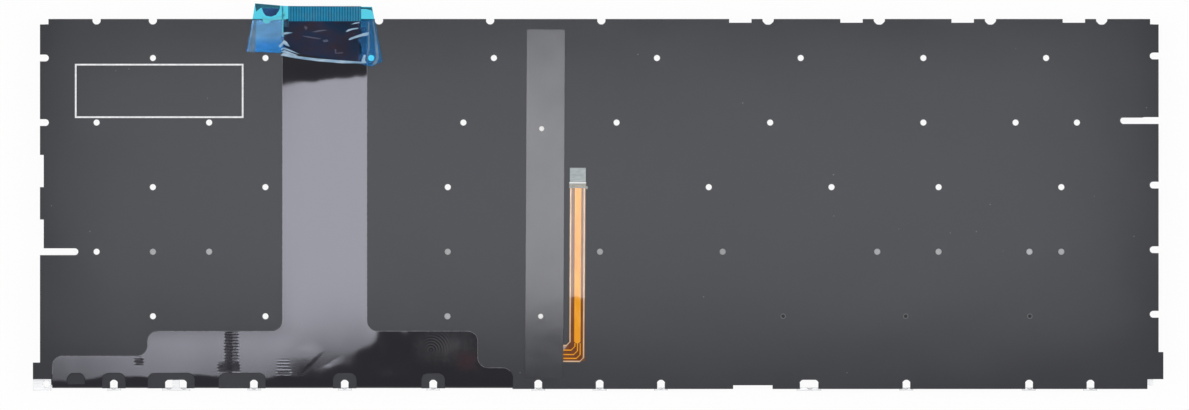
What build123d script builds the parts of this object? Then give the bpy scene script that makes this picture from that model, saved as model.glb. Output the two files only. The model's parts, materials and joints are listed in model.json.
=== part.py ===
"""Backlit laptop keyboard module with a number pad, lying face down on its keycaps.

The frame: +Z points out of the module's back, +Y to the edge nearest the screen, and +X to the
side of the escape key, which is the right-hand side when the back is seen with +Y upwards.
The origin is on the plane of the keycap tops, at the middle of the module's bounding box.
All sizes are in millimetres.
"""

import math
import os
from dataclasses import dataclass

from build123d import *

# Key field
KEY_PITCH = 18.1
ROW_PITCH = 19.05
PAD_PITCH = 16.6
FUNCTION_ROW_DEPTH = 10.8
KEY_GAP = 3.0
HALF_KEY_GAP = 1.0
ESCAPE_WIDTH = 14.8
DELETE_WIDTH = 17.1
GRAVE_WIDTH = 13.1
BACKSPACE_WIDTH = 31.2
TAB_KEY_WIDTH = 22.1
CAPS_WIDTH = 26.7
LEFT_SHIFT_WIDTH = 36.1
SPACE_WIDTH = 72.4
RIGHT_CONTROL_WIDTH = 26.8

# Margins from the key field to the edges of the back film
RIGHT_MARGIN = 2.0
LEFT_MARGIN = 0.1
TOP_MARGIN = 0.7
BOTTOM_MARGIN = 2.4

# Keycaps and layers, from the keycap tops on the floor up to the back
CAP_HEIGHT = 2.2
CAP_TOP_WALL = 0.9
CAP_SKIRT_WALL = 1.0
CAP_TOP_INSET = 0.3
KEY_TRAVEL = 1.5
TRAVEL_MARGIN = 0.2
MEMBRANE_THICKNESS = 0.25
PLATE_THICKNESS = 0.5
GUIDE_THICKNESS = 0.45
FILM_THICKNESS = 0.15
FLEX_THICKNESS = 0.12
TAPE_THICKNESS = 0.1
STIFFENER_THICKNESS = 0.15
WRAP_THICKNESS = 0.15

# Post holes and the cuts in the film's edges
POST_HOLE_RADIUS = 0.9
POST_CLEARANCE = 0.4
SMALL_ROUND_SIDES = 8
NOTCH_WIDTH = 2.4
WIDE_NOTCH_WIDTH = 3.3
TOP_NOTCH_DEPTH = 1.6
SIDE_NOTCH_WIDTH = 2.0
SIDE_NOTCH_DEPTH = 2.6
RIGHT_NOTCH_RISE = 0.6
SIDE_SLOT_DEPTH = 11.3
BOTTOM_NOTCH_DEPTH = 2.7
PAIR_NOTCH_WIDTH = 6.5
BAR_NOTCH_WIDTH = 5.6
BAR_NOTCH_SHIFT = 7.5
BAR_RELIEF_SHIFT = 9.1
FLAP_NOTCHES_FROM_PAD = (-44.7, -26.4, -3.4, 23.4, 49.5)
NOTCH_CORNER = 0.7
RELIEF_WIDTH = 6.6
BAR_RELIEF_WIDTH = 11.8
RELIEF_DEPTH = 1.1
SIDE_RELIEF_HEIGHT = 9.5
LEFT_EAR_REACH = 2.1
LEFT_EAR_HEIGHT = 4.9
RIGHT_EAR_REACH = 1.4
RIGHT_EAR_HEIGHT = 8.0
CORNER_CUT_WIDTH = 3.3
CORNER_CUT_HEIGHT = 2.9
TOP_CORNER_CUT_WIDTH = 2.5
TOP_CORNER_CUT_HEIGHT = 1.6

# Base plate, whose tabs show in the bottom notches
LAYER_INSET = 0.4
TAB_SIDE = 0.85
TAB_REACH = 0.5
TAB_LIP = 0.9
CORNER_TAB_HOLE_RADIUS = 1.0
PAIR_WEB_WIDTH = 2.0

# Membrane with its folded flap and tail
FLAP_TAPE_GAP = 4.3
FLAP_LEFT_MARGIN = 3.6
FLAP_LEFT_STEP_HEIGHT = 8.7
FLAP_LEFT_STEP_WIDTH = 28.1
FLAP_RIGHT_STEP_HEIGHT = 5.2
FLAP_RIGHT_STEP_WIDTH = 10.3
FLAP_CORNER_RADIUS = 3.0
FLAP_STEP_STRAIGHT = 1.3
FLAP_WINDOW_HEIGHT = 3.6
FLAP_WINDOW_CLEARANCE = 1.45
FLAP_WINDOW_CORNER = 1.2
FLAP_PAIR_WINDOW_EXTRA = 2.8
FLAP_PAD_WINDOW_EXTRA = 6.9
FLAP_END_WINDOW_WIDTH = 5.3
FLAP_END_WINDOW_GAP = 5.0
FOLD_RECESS = 1.1
FOLD_FACETS = 4
FOLD_STRIP = 0.3
FILM_TONGUE_CLEARANCE = 0.1
FILM_TONGUE_SET_BACK = 0.2
TAIL_WIDTH = 25.1
TAIL_FROM_PAD = 17.5
TAIL_SHOULDER = 1.8
TONGUE_LENGTH = 6.0
TONGUE_REACH = 3.8
TAIL_STIFFENER_SET_BACK = 0.4

# Protective wrap round the tail's contacts, measured from the middle of the tail
WRAP_OVER_TONGUE = 0.8
WRAP_LEFT = 20.5
WRAP_RIGHT = 14.0
WRAP_LEFT_SLANT = 2.4
WRAP_RIGHT_SLANT = 3.0
WRAP_KINK = 11.8
WRAP_KINK_DROP = 0.75
WRAP_TOP_DROP = 1.0
WRAP_LEFT_HEIGHT = 14.2
WRAP_RIGHT_HEIGHT = 17.6
WRAP_FOOT_RISE = 1.5

# Backlight: light strip, its tail and the tape over it
STRIP_FROM_PAD = 82.9
STRIP_WIDTH = 6.0
STRIP_END_MARGIN = 5.6
TAPE_WIDTH = 11.2
TAPE_OVERHANG = 2.5
TAPE_HOLE_RADIUS = 0.75
TAPE_HOLE_OFFSET = 1.1
TAPE_HOLE_DROP = 1.8
FLEX_TAIL_WIDTH = 4.7
FLEX_TAIL_GAP = 1.7
FLEX_TAIL_LENGTH = 57.0
FLEX_FOOT_HEIGHT = 8.3
FLEX_STIFFENER_LENGTH = 5.3
LIGHT_COUNT = 12
LIGHT_WIDTH = 0.9
LIGHT_LENGTH = 3.0
LIGHT_HEIGHT = 0.5
LIGHT_CLEARANCE = 0.4

# Key mechanism
DOME_BASE = 5.6
DOME_TOP = 3.0
LINK_BAR = 1.2
LINK_THICKNESS = 0.6
LINK_GAP = 0.15
LINK_SIDE_CLEARANCE = 0.75
LINK_LENGTH_CLEARANCE = 1.5
LINK_END_CLEARANCE = 0.05
LINK_WIRE_GAP = 1.5
WIRE_DIAMETER = 0.7
WIRE_END_CLEARANCE = 6.0
WIRE_ARM = 6.0
WIRE_ARM_SIDE = 0.48
WIRE_PIN = 2.0
WIRE_CLEARANCE = 0.05
WIRE_EDGE_CLEARANCE = 0.4

# Heights of the layers
MEMBRANE_Z = CAP_HEIGHT + KEY_TRAVEL + TRAVEL_MARGIN
PLATE_Z = MEMBRANE_Z + MEMBRANE_THICKNESS
GUIDE_Z = PLATE_Z + PLATE_THICKNESS
FILM_Z = GUIDE_Z + GUIDE_THICKNESS
BACK_Z = FILM_Z + FILM_THICKNESS

# Edges of the board, set so that the ears, and the wrap and the tabs, reach equally far
MAIN_BLOCK_WIDTH = GRAVE_WIDTH + 12 * KEY_PITCH + BACKSPACE_WIDTH
FUNCTION_PITCH = (MAIN_BLOCK_WIDTH - ESCAPE_WIDTH - DELETE_WIDTH) / 14
BOARD_WIDTH = LEFT_MARGIN + 4 * PAD_PITCH + MAIN_BLOCK_WIDTH + RIGHT_MARGIN
BOARD_DEPTH = FUNCTION_ROW_DEPTH + 5 * ROW_PITCH + TOP_MARGIN + BOTTOM_MARGIN
RIGHT_EDGE = (BOARD_WIDTH + LEFT_EAR_REACH - RIGHT_EAR_REACH) / 2
LEFT_EDGE = RIGHT_EDGE - BOARD_WIDTH
TOP_EDGE = (BOARD_DEPTH + TAB_REACH - TONGUE_REACH - WRAP_OVER_TONGUE) / 2
BOTTOM_EDGE = TOP_EDGE - BOARD_DEPTH
MIDDLE_Y = (TOP_EDGE + BOTTOM_EDGE) / 2
FOLD_Y = BOTTOM_EDGE + FOLD_RECESS
FIELD_RIGHT = RIGHT_EDGE - RIGHT_MARGIN
FIELD_TOP = TOP_EDGE - TOP_MARGIN
PAD_RIGHT = FIELD_RIGHT - MAIN_BLOCK_WIDTH
TAIL_X = PAD_RIGHT + TAIL_FROM_PAD
STRIP_X = PAD_RIGHT + STRIP_FROM_PAD
STRIP_LENGTH = BOARD_DEPTH - 2 * STRIP_END_MARGIN
FLAP_LEFT = LEFT_EDGE + FLAP_LEFT_MARGIN
FLAP_RIGHT = STRIP_X - TAPE_WIDTH / 2 - FLAP_TAPE_GAP
FLEX_TAIL_LEFT = STRIP_X + TAPE_WIDTH / 2 + FLEX_TAIL_GAP
FLEX_FOOT_Y = BOTTOM_EDGE + FLEX_FOOT_HEIGHT


@dataclass
class Key:
    """A key's cell, with half of the gap to its neighbours on each side."""

    name: str
    right: float
    left: float
    top: float
    bottom: float

    @property
    def x(self):
        return (self.right + self.left) / 2

    @property
    def y(self):
        return (self.top + self.bottom) / 2

    @property
    def cap_width(self):
        return self.right - self.left - KEY_GAP

    @property
    def cap_depth(self):
        return self.top - self.bottom - KEY_GAP


def row_line(number):
    """Y of the gap under row 0, the function row, or under one of the five rows below it."""
    return FIELD_TOP - FUNCTION_ROW_DEPTH - number * ROW_PITCH


def lay_row(number, names_and_widths, start):
    """Keys side by side from the escape side on, which is from right to left in this view."""
    top = row_line(number - 1) if number else FIELD_TOP
    keys = []
    for name, width in names_and_widths:
        keys.append(Key(name, start, start - width, top, row_line(number)))
        start -= width
    return keys


def main_row(number, first, first_width, names, last, pitch=KEY_PITCH):
    """A row of the main block: a first key, keys of one pitch, and a last key that fills the row."""
    last_width = MAIN_BLOCK_WIDTH - first_width - len(names) * pitch
    widths = [(first, first_width), *((name, pitch) for name in names), (last, last_width)]
    return lay_row(number, widths, FIELD_RIGHT)


def pad_row(number, names):
    return lay_row(number, [(name, PAD_PITCH) for name in names], PAD_RIGHT)


def tall_pad_key(name, first_row):
    """A key in the pad's outer column that is two rows deep."""
    right = PAD_RIGHT - 3 * PAD_PITCH
    return Key(name, right, right - PAD_PITCH, row_line(first_row - 1), row_line(first_row + 1))


def bottom_row():
    """Control keys, the space bar and the arrow keys, two of which share one cell."""
    widths = [(name, KEY_PITCH) for name in ("left_control", "fn", "super", "left_alt")]
    widths += [("space", SPACE_WIDTH), ("right_alt", KEY_PITCH), ("menu", KEY_PITCH)]
    widths += [("right_control", RIGHT_CONTROL_WIDTH)]
    keys = lay_row(5, widths, FIELD_RIGHT)
    start = keys[-1].left
    width = (start - PAD_RIGHT) / 3
    arrows = lay_row(5, [(f"arrow_{way}", width) for way in ("left", "up", "right")], start)
    up = arrows[1]
    overlap = (KEY_GAP - HALF_KEY_GAP) / 2
    down = Key("arrow_down", up.right, up.left, up.y + overlap, up.bottom)
    up.bottom = up.y - overlap
    return keys + arrows + [down]


def lay_keys():
    functions = [f"f{number}" for number in range(1, 13)] + ["print", "insert"]
    keys = main_row(0, "escape", ESCAPE_WIDTH, functions, "delete", FUNCTION_PITCH)
    keys += main_row(1, "grave", GRAVE_WIDTH, [*"1234567890", "minus", "equals"], "backspace")
    keys += main_row(2, "tab", TAB_KEY_WIDTH, [*"qwertyuiop", "left_bracket", "right_bracket"], "backslash")
    keys += main_row(3, "caps", CAPS_WIDTH, [*"asdfghjkl", "semicolon", "quote"], "enter")
    lower = [*"zxcvbnm", "comma", "period", "slash"]
    keys += main_row(4, "left_shift", LEFT_SHIFT_WIDTH, lower, "right_shift")
    keys += bottom_row()
    keys += pad_row(0, ["home", "end", "page_up", "page_down"])
    keys += pad_row(1, ["num_lock", "pad_divide", "pad_multiply", "pad_minus"])
    keys += pad_row(2, ["pad_7", "pad_8", "pad_9"])
    keys += pad_row(3, ["pad_4", "pad_5", "pad_6"])
    keys += pad_row(4, ["pad_1", "pad_2", "pad_3"])
    keys += [tall_pad_key("pad_plus", 2), tall_pad_key("pad_enter", 4)]
    keys += lay_row(5, [("pad_0", 2 * PAD_PITCH), ("pad_period", PAD_PITCH)], PAD_RIGHT)
    return {key.name: key for key in keys}


KEYS = lay_keys()
MOVING_KEYS = [*"1234567890qwertyuiopasdfghjklzxcvbnm", "space"]
FUNCTION_KEYS = [*(f"f{number}" for number in range(1, 13)), "escape", "print", "insert", "delete"]
FUNCTION_KEYS += ["home", "end", "page_up", "page_down"]
PUNCTUATION_KEYS = ["grave", "minus", "equals", "left_bracket", "right_bracket", "backslash"]
PUNCTUATION_KEYS += ["semicolon", "quote", "comma", "period", "slash"]
MODIFIER_KEYS = ["backspace", "tab", "caps", "enter", "left_shift", "right_shift", "left_control"]
MODIFIER_KEYS += ["fn", "super", "left_alt", "right_alt", "menu", "right_control"]
FIXED_GROUPS = {
    "function_row_keys": FUNCTION_KEYS,
    "number_pad_keys": [name for name in KEYS if name.startswith("pad_")] + ["num_lock"],
    "arrow_keys": [name for name in KEYS if name.startswith("arrow_")],
    "punctuation_keys": PUNCTUATION_KEYS,
    "modifier_keys": MODIFIER_KEYS,
}

# Posts stand on the row lines, each at the far side of the key named here. The locating posts fit
# round holes in the base plate; the open posts pass through every layer with clearance, and the blind
# ones only through the film.
LOCATING_POSTS = {0: ["backspace", "pad_divide"], 4: ["enter", "pad_5"]}
OPEN_POSTS = {
    0: ["1", "3", "5", "f8", "0", "equals"],
    1: ["tab", "q", "3", "t", "8", "p", "num_lock", "pad_multiply"],
    2: ["caps", "s", "r", "y", "semicolon", "enter", "pad_5"],
    3: ["pad_6"],
}
BLIND_POSTS = {
    3: ["caps", "left_shift", "s", "d", "b", "m", "semicolon", "pad_4", "pad_5"],
    4: ["right_control"],
}


@dataclass
class BottomNotch:
    """A notch in the bottom edge, and how much further the flap's window goes on its left."""

    x: float
    width: float
    window_extra: float = 0.0


FLAP_NOTCHES = [BottomNotch(PAD_RIGHT + offset, NOTCH_WIDTH) for offset in FLAP_NOTCHES_FROM_PAD]
FLAP_NOTCHES[1].width = PAIR_NOTCH_WIDTH
FLAP_NOTCHES[1].window_extra = FLAP_PAIR_WINDOW_EXTRA
FLAP_NOTCHES[2].window_extra = FLAP_PAD_WINDOW_EXTRA
NOTCHED_KEYS = ["left_control", "fn", "left_alt", "space", "right_alt", "menu"]
OPEN_NOTCHES = [BottomNotch(KEYS[name].left, NOTCH_WIDTH) for name in NOTCHED_KEYS]
OPEN_NOTCHES.append(BottomNotch(KEYS["space"].x + BAR_NOTCH_SHIFT, BAR_NOTCH_WIDTH))
BOTTOM_NOTCHES = FLAP_NOTCHES + OPEN_NOTCHES


def notch_window_spans():
    """From where to where the flap stays open round each notch that it reaches."""
    spans = []
    for notch in FLAP_NOTCHES:
        half = notch.width / 2 + TAB_SIDE + FLAP_WINDOW_CLEARANCE
        spans.append((notch.x - half - notch.window_extra, notch.x + half))
    return spans


def rectangle(left, bottom, right, top):
    return Pos((left + right) / 2, (bottom + top) / 2) * Rectangle(right - left, top - bottom)


def sheet(outline, z, thickness):
    return extrude(Pos(0, 0, z) * outline, amount=thickness)


def posts(table):
    return [(KEYS[name].left, row_line(line)) for line, names in table.items() for name in names]


def small_round(radius):
    """The outline of a small round hole, with eight sides."""
    return RegularPolygon(radius, SMALL_ROUND_SIDES, major_radius=False, rotation=180 / SMALL_ROUND_SIDES)


def post_windows(places):
    """Square clearance holes round posts, for the layers that do not locate them."""
    side = 2 * (POST_HOLE_RADIUS + POST_CLEARANCE)
    return [Pos(*place) * Rectangle(side, side) for place in places]


def edge_notch(x, y, way_x, way_y, depth, width, square=False):
    """A notch from a point on an edge inwards, with a round end or, in hidden layers, a square one."""
    reach = max(depth - width / 2, 0)
    far = depth if square else reach
    start_x, start_y = x - way_x * width, y - way_y * width
    end_x, end_y = x + way_x * far, y + way_y * far
    half_x = width / 2 * abs(way_y)
    half_y = width / 2 * abs(way_x)
    cut = rectangle(min(start_x, end_x) - half_x, min(start_y, end_y) - half_y,
                    max(start_x, end_x) + half_x, max(start_y, end_y) + half_y)
    if not square:
        cut += Pos(end_x, end_y) * small_round(width / 2)
    return cut


def edge_notches(extra=0.0, square=False):
    """The notches in the top and side edges; the layers under the film have them a little larger."""
    places = []
    for name in ("escape", "f2", "f4", "f6"):
        places.append((KEYS[name].left, TOP_EDGE, 0, -1, TOP_NOTCH_DEPTH, WIDE_NOTCH_WIDTH))
    for name in ("f9", "f11", "print", "end", "page_up"):
        places.append((KEYS[name].left, TOP_EDGE, 0, -1, TOP_NOTCH_DEPTH, NOTCH_WIDTH))
    for line, depth in ((0, SIDE_NOTCH_DEPTH), (1, SIDE_NOTCH_DEPTH), (3, SIDE_SLOT_DEPTH)):
        places.append((LEFT_EDGE, row_line(line), 1, 0, depth, SIDE_NOTCH_WIDTH))
    for line in range(5):
        depth = SIDE_SLOT_DEPTH if line == 1 else SIDE_NOTCH_DEPTH
        places.append((RIGHT_EDGE, row_line(line) + RIGHT_NOTCH_RISE, -1, 0, depth, SIDE_NOTCH_WIDTH))
    return [edge_notch(x, y, i, j, depth + extra, width + 2 * extra, square)
            for x, y, i, j, depth, width in places]


def edge_reliefs():
    """Shallow cut-outs beside the wide notches, in the left edge and under the space bar."""
    cuts = []
    for name in ("escape", "f2", "f4", "f6"):
        x = KEYS[name].left - FUNCTION_PITCH / 2
        cuts.append(rectangle(x - RELIEF_WIDTH / 2, TOP_EDGE - RELIEF_DEPTH, x + RELIEF_WIDTH / 2, TOP_EDGE))
    for line in (2, 3):
        foot = row_line(line)
        cuts.append(rectangle(LEFT_EDGE, foot, LEFT_EDGE + RELIEF_DEPTH, foot + SIDE_RELIEF_HEIGHT))
    x = KEYS["space"].x - BAR_RELIEF_SHIFT
    half = BAR_RELIEF_WIDTH / 2
    cuts.append(rectangle(x - half, BOTTOM_EDGE, x + half, BOTTOM_EDGE + RELIEF_DEPTH))
    return cuts


def bottom_notch(notch):
    """A notch in the film's bottom edge with its upper corners cut off."""
    half = notch.width / 2
    cut = rectangle(notch.x - half, BOTTOM_EDGE - half, notch.x + half, BOTTOM_EDGE + BOTTOM_NOTCH_DEPTH)
    return chamfer(cut.vertices().sort_by(Axis.Y)[-2:], NOTCH_CORNER)


def board_outline():
    """The board's edge with its ears and corner cuts, set back for the membrane's fold between windows."""
    top, bottom = TOP_EDGE, BOTTOM_EDGE
    ear_foot = bottom + CORNER_CUT_HEIGHT
    outline = rectangle(LEFT_EDGE, bottom, RIGHT_EDGE, top)
    outline += rectangle(LEFT_EDGE - LEFT_EAR_REACH, ear_foot, LEFT_EDGE, ear_foot + LEFT_EAR_HEIGHT)
    outline += rectangle(RIGHT_EDGE, ear_foot, RIGHT_EDGE + RIGHT_EAR_REACH, ear_foot + RIGHT_EAR_HEIGHT)
    outline -= rectangle(LEFT_EDGE, bottom, LEFT_EDGE + CORNER_CUT_WIDTH, ear_foot)
    outline -= rectangle(RIGHT_EDGE - CORNER_CUT_WIDTH, bottom, RIGHT_EDGE, ear_foot)
    for corner in (LEFT_EDGE, RIGHT_EDGE - TOP_CORNER_CUT_WIDTH):
        outline -= rectangle(corner, top - TOP_CORNER_CUT_HEIGHT, corner + TOP_CORNER_CUT_WIDTH, top)
    outline -= rectangle(LEFT_EDGE, bottom, FLAP_RIGHT, FOLD_Y)
    for left, right in notch_window_spans():
        outline += rectangle(left + FILM_TONGUE_CLEARANCE, bottom + FILM_TONGUE_SET_BACK,
                             right - FILM_TONGUE_CLEARANCE, FOLD_Y)
    return outline


def light_slot():
    """The slot along the strip, in which its lights stand."""
    return Pos(STRIP_X, MIDDLE_Y) * Rectangle(LIGHT_WIDTH + 2 * LIGHT_CLEARANCE, STRIP_LENGTH)


def make_back_film():
    outline = board_outline() - edge_notches() - edge_reliefs()
    outline -= [bottom_notch(notch) for notch in BOTTOM_NOTCHES]
    places = posts(LOCATING_POSTS) + posts(OPEN_POSTS) + posts(BLIND_POSTS)
    outline -= [Pos(*place) * small_round(POST_HOLE_RADIUS) for place in places]
    return sheet(outline - light_slot(), FILM_Z, FILM_THICKNESS)


def inner_board():
    """A plain rectangle that stays inside every notch except the two long side slots."""
    side = SIDE_NOTCH_DEPTH + LAYER_INSET
    return rectangle(LEFT_EDGE + side, BOTTOM_EDGE + BOTTOM_NOTCH_DEPTH + LAYER_INSET,
                     RIGHT_EDGE - side, TOP_EDGE - TOP_NOTCH_DEPTH - LAYER_INSET)


def side_slots():
    """The two long side slots, with clearance, for the layers under the film."""
    depth, width = SIDE_SLOT_DEPTH + LAYER_INSET, SIDE_NOTCH_WIDTH + 2 * LAYER_INSET
    left = edge_notch(LEFT_EDGE, row_line(3), 1, 0, depth, width, square=True)
    return [left, edge_notch(RIGHT_EDGE, row_line(1) + RIGHT_NOTCH_RISE, -1, 0, depth, width, square=True)]


def clear_board():
    """The board inside the notches, with clearance round every post that passes through it."""
    return inner_board() - side_slots() - post_windows(posts(LOCATING_POSTS) + posts(OPEN_POSTS))


def make_light_guide():
    return sheet(clear_board() - light_slot(), GUIDE_Z, GUIDE_THICKNESS)


def plate_tab(notch):
    """The tab round a bottom notch: its outline and the opening above its lip."""
    left, right = notch.x - notch.width / 2, notch.x + notch.width / 2
    foot = BOTTOM_EDGE - TAB_REACH
    tab = rectangle(left - TAB_SIDE, foot, right + TAB_SIDE, FOLD_Y + TAB_SIDE)
    opening = rectangle(left, foot + TAB_LIP, right, BOTTOM_EDGE + BOTTOM_NOTCH_DEPTH)
    if notch.width == PAIR_NOTCH_WIDTH:
        opening -= Pos(notch.x, FOLD_Y) * Rectangle(PAIR_WEB_WIDTH, 2 * BOTTOM_NOTCH_DEPTH)
    return tab, opening


def make_base_plate():
    inset = LAYER_INSET
    outline = rectangle(LEFT_EDGE + RELIEF_DEPTH + inset, FOLD_Y, RIGHT_EDGE - RELIEF_DEPTH - inset,
                        TOP_EDGE - RELIEF_DEPTH - inset)
    outline -= edge_notches(extra=inset, square=True)
    corner_top = BOTTOM_EDGE + CORNER_CUT_HEIGHT + LEFT_EAR_HEIGHT - inset
    outline += rectangle(LEFT_EDGE - LEFT_EAR_REACH, BOTTOM_EDGE - TAB_REACH, FLAP_LEFT - inset, corner_top)
    for notch in BOTTOM_NOTCHES:
        tab, opening = plate_tab(notch)
        outline = outline + tab - opening
    corner = ((LEFT_EDGE + FLAP_LEFT) / 2, BOTTOM_EDGE + CORNER_CUT_HEIGHT / 2)
    outline -= Pos(*corner) * small_round(CORNER_TAB_HOLE_RADIUS)
    outline -= [Pos(*place) * Circle(POST_HOLE_RADIUS) for place in posts(LOCATING_POSTS)]
    return sheet(outline - post_windows(posts(OPEN_POSTS)), PLATE_Z, PLATE_THICKNESS)


def flap_outline():
    """The flap on the back and the tail that leads from it to the contacts, before its windows."""
    tail_left, tail_right = TAIL_X - TAIL_WIDTH / 2, TAIL_X + TAIL_WIDTH / 2
    shoulder = FOLD_Y + FLAP_LEFT_STEP_HEIGHT + 2 * FLAP_CORNER_RADIUS + FLAP_STEP_STRAIGHT
    left_step, right_step = FLAP_LEFT + FLAP_LEFT_STEP_WIDTH, FLAP_RIGHT - FLAP_RIGHT_STEP_WIDTH
    tongue_y = TOP_EDGE + TONGUE_REACH - TONGUE_LENGTH
    points = [
        (FLAP_LEFT, FOLD_Y), (FLAP_LEFT, FOLD_Y + FLAP_LEFT_STEP_HEIGHT),
        (left_step, FOLD_Y + FLAP_LEFT_STEP_HEIGHT), (left_step, shoulder),
        (tail_left, shoulder), (tail_left, tongue_y),
        (tail_right, tongue_y), (tail_right, shoulder),
        (right_step, shoulder), (right_step, FOLD_Y + FLAP_RIGHT_STEP_HEIGHT),
        (FLAP_RIGHT, FOLD_Y + FLAP_RIGHT_STEP_HEIGHT), (FLAP_RIGHT, FOLD_Y),
    ]
    flap = make_face(Polyline(*points, close=True))
    rounded = [corner for corner in flap.vertices() if FOLD_Y + 1e-6 < corner.Y < tongue_y - 1e-6]
    return fillet(rounded, FLAP_CORNER_RADIUS)


def make_membrane():
    lower = BOTTOM_EDGE + BOTTOM_NOTCH_DEPTH + LAYER_INSET
    board = clear_board() + rectangle(FLAP_LEFT, FOLD_Y, FLAP_RIGHT, lower)
    flat = sheet(board, MEMBRANE_Z, MEMBRANE_THICKNESS)
    inner_radius = (BACK_Z - PLATE_Z) / 2
    outer_radius = inner_radius + MEMBRANE_THICKNESS
    half = rectangle(-2 * outer_radius, -2 * outer_radius, 0, 2 * outer_radius)
    half_ring = (fold_round(outer_radius) - fold_round(inner_radius)) & half
    profile = Plane((FLAP_LEFT, FOLD_Y, (PLATE_Z + BACK_Z) / 2), x_dir=(0, 1, 0), z_dir=(1, 0, 0))
    fold = extrude(profile * half_ring, amount=FLAP_RIGHT - FLAP_LEFT)
    back = sheet(flap_outline() + tongue() - end_window(), BACK_Z, MEMBRANE_THICKNESS)
    membrane = flat + fold + back
    depth = BACK_Z + MEMBRANE_THICKNESS - MEMBRANE_Z
    for window in flap_windows():
        membrane -= extrude(Pos(0, 0, MEMBRANE_Z) * window, amount=depth)
    return membrane


def fold_round(radius):
    """The section of a fold, in facets that lie flush with the sheets on both sides of it."""
    sides = 2 * FOLD_FACETS
    return RegularPolygon(radius, sides, major_radius=False, rotation=180 / sides)


def tongue():
    """The narrower end of the tail with the contacts."""
    half = TAIL_WIDTH / 2 - TAIL_SHOULDER
    end = TOP_EDGE + TONGUE_REACH
    return rectangle(TAIL_X - half, end - TONGUE_LENGTH - TAIL_SHOULDER, TAIL_X + half, end)


def cut_corners(window):
    """A window in the flap with its two upper corners cut off."""
    return chamfer(window.vertices().sort_by(Axis.Y)[-2:], FLAP_WINDOW_CORNER)


def flap_windows():
    """Windows through the flap and its fold, round the base plate's tabs."""
    foot, top = BOTTOM_EDGE - TAB_REACH - FOLD_RECESS, FOLD_Y + FLAP_WINDOW_HEIGHT
    return [cut_corners(rectangle(left, foot, right, top)) for left, right in notch_window_spans()]


def end_window():
    """The window at the flap's left end, which stays clear of the fold."""
    right = notch_window_spans()[0][0] - FLAP_END_WINDOW_GAP
    top = FOLD_Y + FLAP_WINDOW_HEIGHT
    return cut_corners(rectangle(right - FLAP_END_WINDOW_WIDTH, FOLD_Y + FOLD_STRIP, right, top))


def make_tail_stiffener():
    """A stiff strip under the contacts, past the board's edge."""
    half = TAIL_WIDTH / 2 - TAIL_SHOULDER
    foot = TOP_EDGE + TAIL_STIFFENER_SET_BACK
    strip = rectangle(TAIL_X - half, foot, TAIL_X + half, TOP_EDGE + TONGUE_REACH)
    return sheet(strip, BACK_Z - STIFFENER_THICKNESS, STIFFENER_THICKNESS)


def make_connector_wrap():
    top = TOP_EDGE + TONGUE_REACH + WRAP_OVER_TONGUE
    right_top = top - WRAP_TOP_DROP
    points = [
        (TAIL_X - WRAP_LEFT, top), (TAIL_X - WRAP_KINK, top - WRAP_KINK_DROP),
        (TAIL_X + WRAP_RIGHT, right_top),
        (TAIL_X + WRAP_RIGHT + WRAP_RIGHT_SLANT, right_top - WRAP_RIGHT_HEIGHT + WRAP_FOOT_RISE),
        (TAIL_X + WRAP_RIGHT, right_top - WRAP_RIGHT_HEIGHT),
        (TAIL_X - WRAP_LEFT / 3, top - WRAP_LEFT_HEIGHT - WRAP_FOOT_RISE / 2),
        (TAIL_X - WRAP_LEFT - WRAP_LEFT_SLANT, top - WRAP_LEFT_HEIGHT),
    ]
    return sheet(make_face(Polyline(*points, close=True)), BACK_Z + MEMBRANE_THICKNESS, WRAP_THICKNESS)


def make_backlight_flex():
    tail_right = FLEX_TAIL_LEFT + FLEX_TAIL_WIDTH
    strip = Pos(STRIP_X, MIDDLE_Y) * Rectangle(STRIP_WIDTH, STRIP_LENGTH)
    foot = rectangle(STRIP_X, FLEX_FOOT_Y, tail_right, FLEX_FOOT_Y + FLEX_TAIL_WIDTH)
    tail = rectangle(FLEX_TAIL_LEFT, FLEX_FOOT_Y, tail_right, FLEX_FOOT_Y + FLEX_TAIL_LENGTH)
    return sheet(strip + foot + tail, BACK_Z, FLEX_THICKNESS)


def make_flex_stiffener():
    top = FLEX_FOOT_Y + FLEX_TAIL_LENGTH
    end = rectangle(FLEX_TAIL_LEFT, top - FLEX_STIFFENER_LENGTH, FLEX_TAIL_LEFT + FLEX_TAIL_WIDTH, top)
    return sheet(end, BACK_Z + FLEX_THICKNESS, STIFFENER_THICKNESS)


def make_strip_tape():
    tape = Pos(STRIP_X, MIDDLE_Y) * Rectangle(TAPE_WIDTH, STRIP_LENGTH + 2 * TAPE_OVERHANG)
    for y in (row_line(1) - TAPE_HOLE_DROP, row_line(4)):
        tape -= Pos(STRIP_X - TAPE_HOLE_OFFSET, y) * small_round(TAPE_HOLE_RADIUS)
    return sheet(tape, BACK_Z + FLEX_THICKNESS, TAPE_THICKNESS)


def make_lights():
    """Lights in a row under the strip."""
    step = STRIP_LENGTH / LIGHT_COUNT
    low = MIDDLE_Y - STRIP_LENGTH / 2 + step / 2
    light = Box(LIGHT_WIDTH, LIGHT_LENGTH, LIGHT_HEIGHT)
    z = BACK_Z - LIGHT_HEIGHT / 2
    return Compound(children=[Pos(STRIP_X, low + i * step, z) * light for i in range(LIGHT_COUNT)])


def frustum(width, depth, inset, height):
    """A tapered block: its large face is at height 0 and its small one faces the floor."""
    block = Wedge(width, height, depth, inset, inset, width - inset, depth - inset,
                  align=(Align.CENTER, Align.MIN, Align.CENTER))
    return Rot(-90, 0, 0) * block


def make_fixed_cap(key):
    """A keycap in one piece, its top on the floor and a little smaller than its skirt."""
    return Pos(key.x, key.y, CAP_HEIGHT) * frustum(key.cap_width, key.cap_depth, CAP_TOP_INSET, CAP_HEIGHT)


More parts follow.
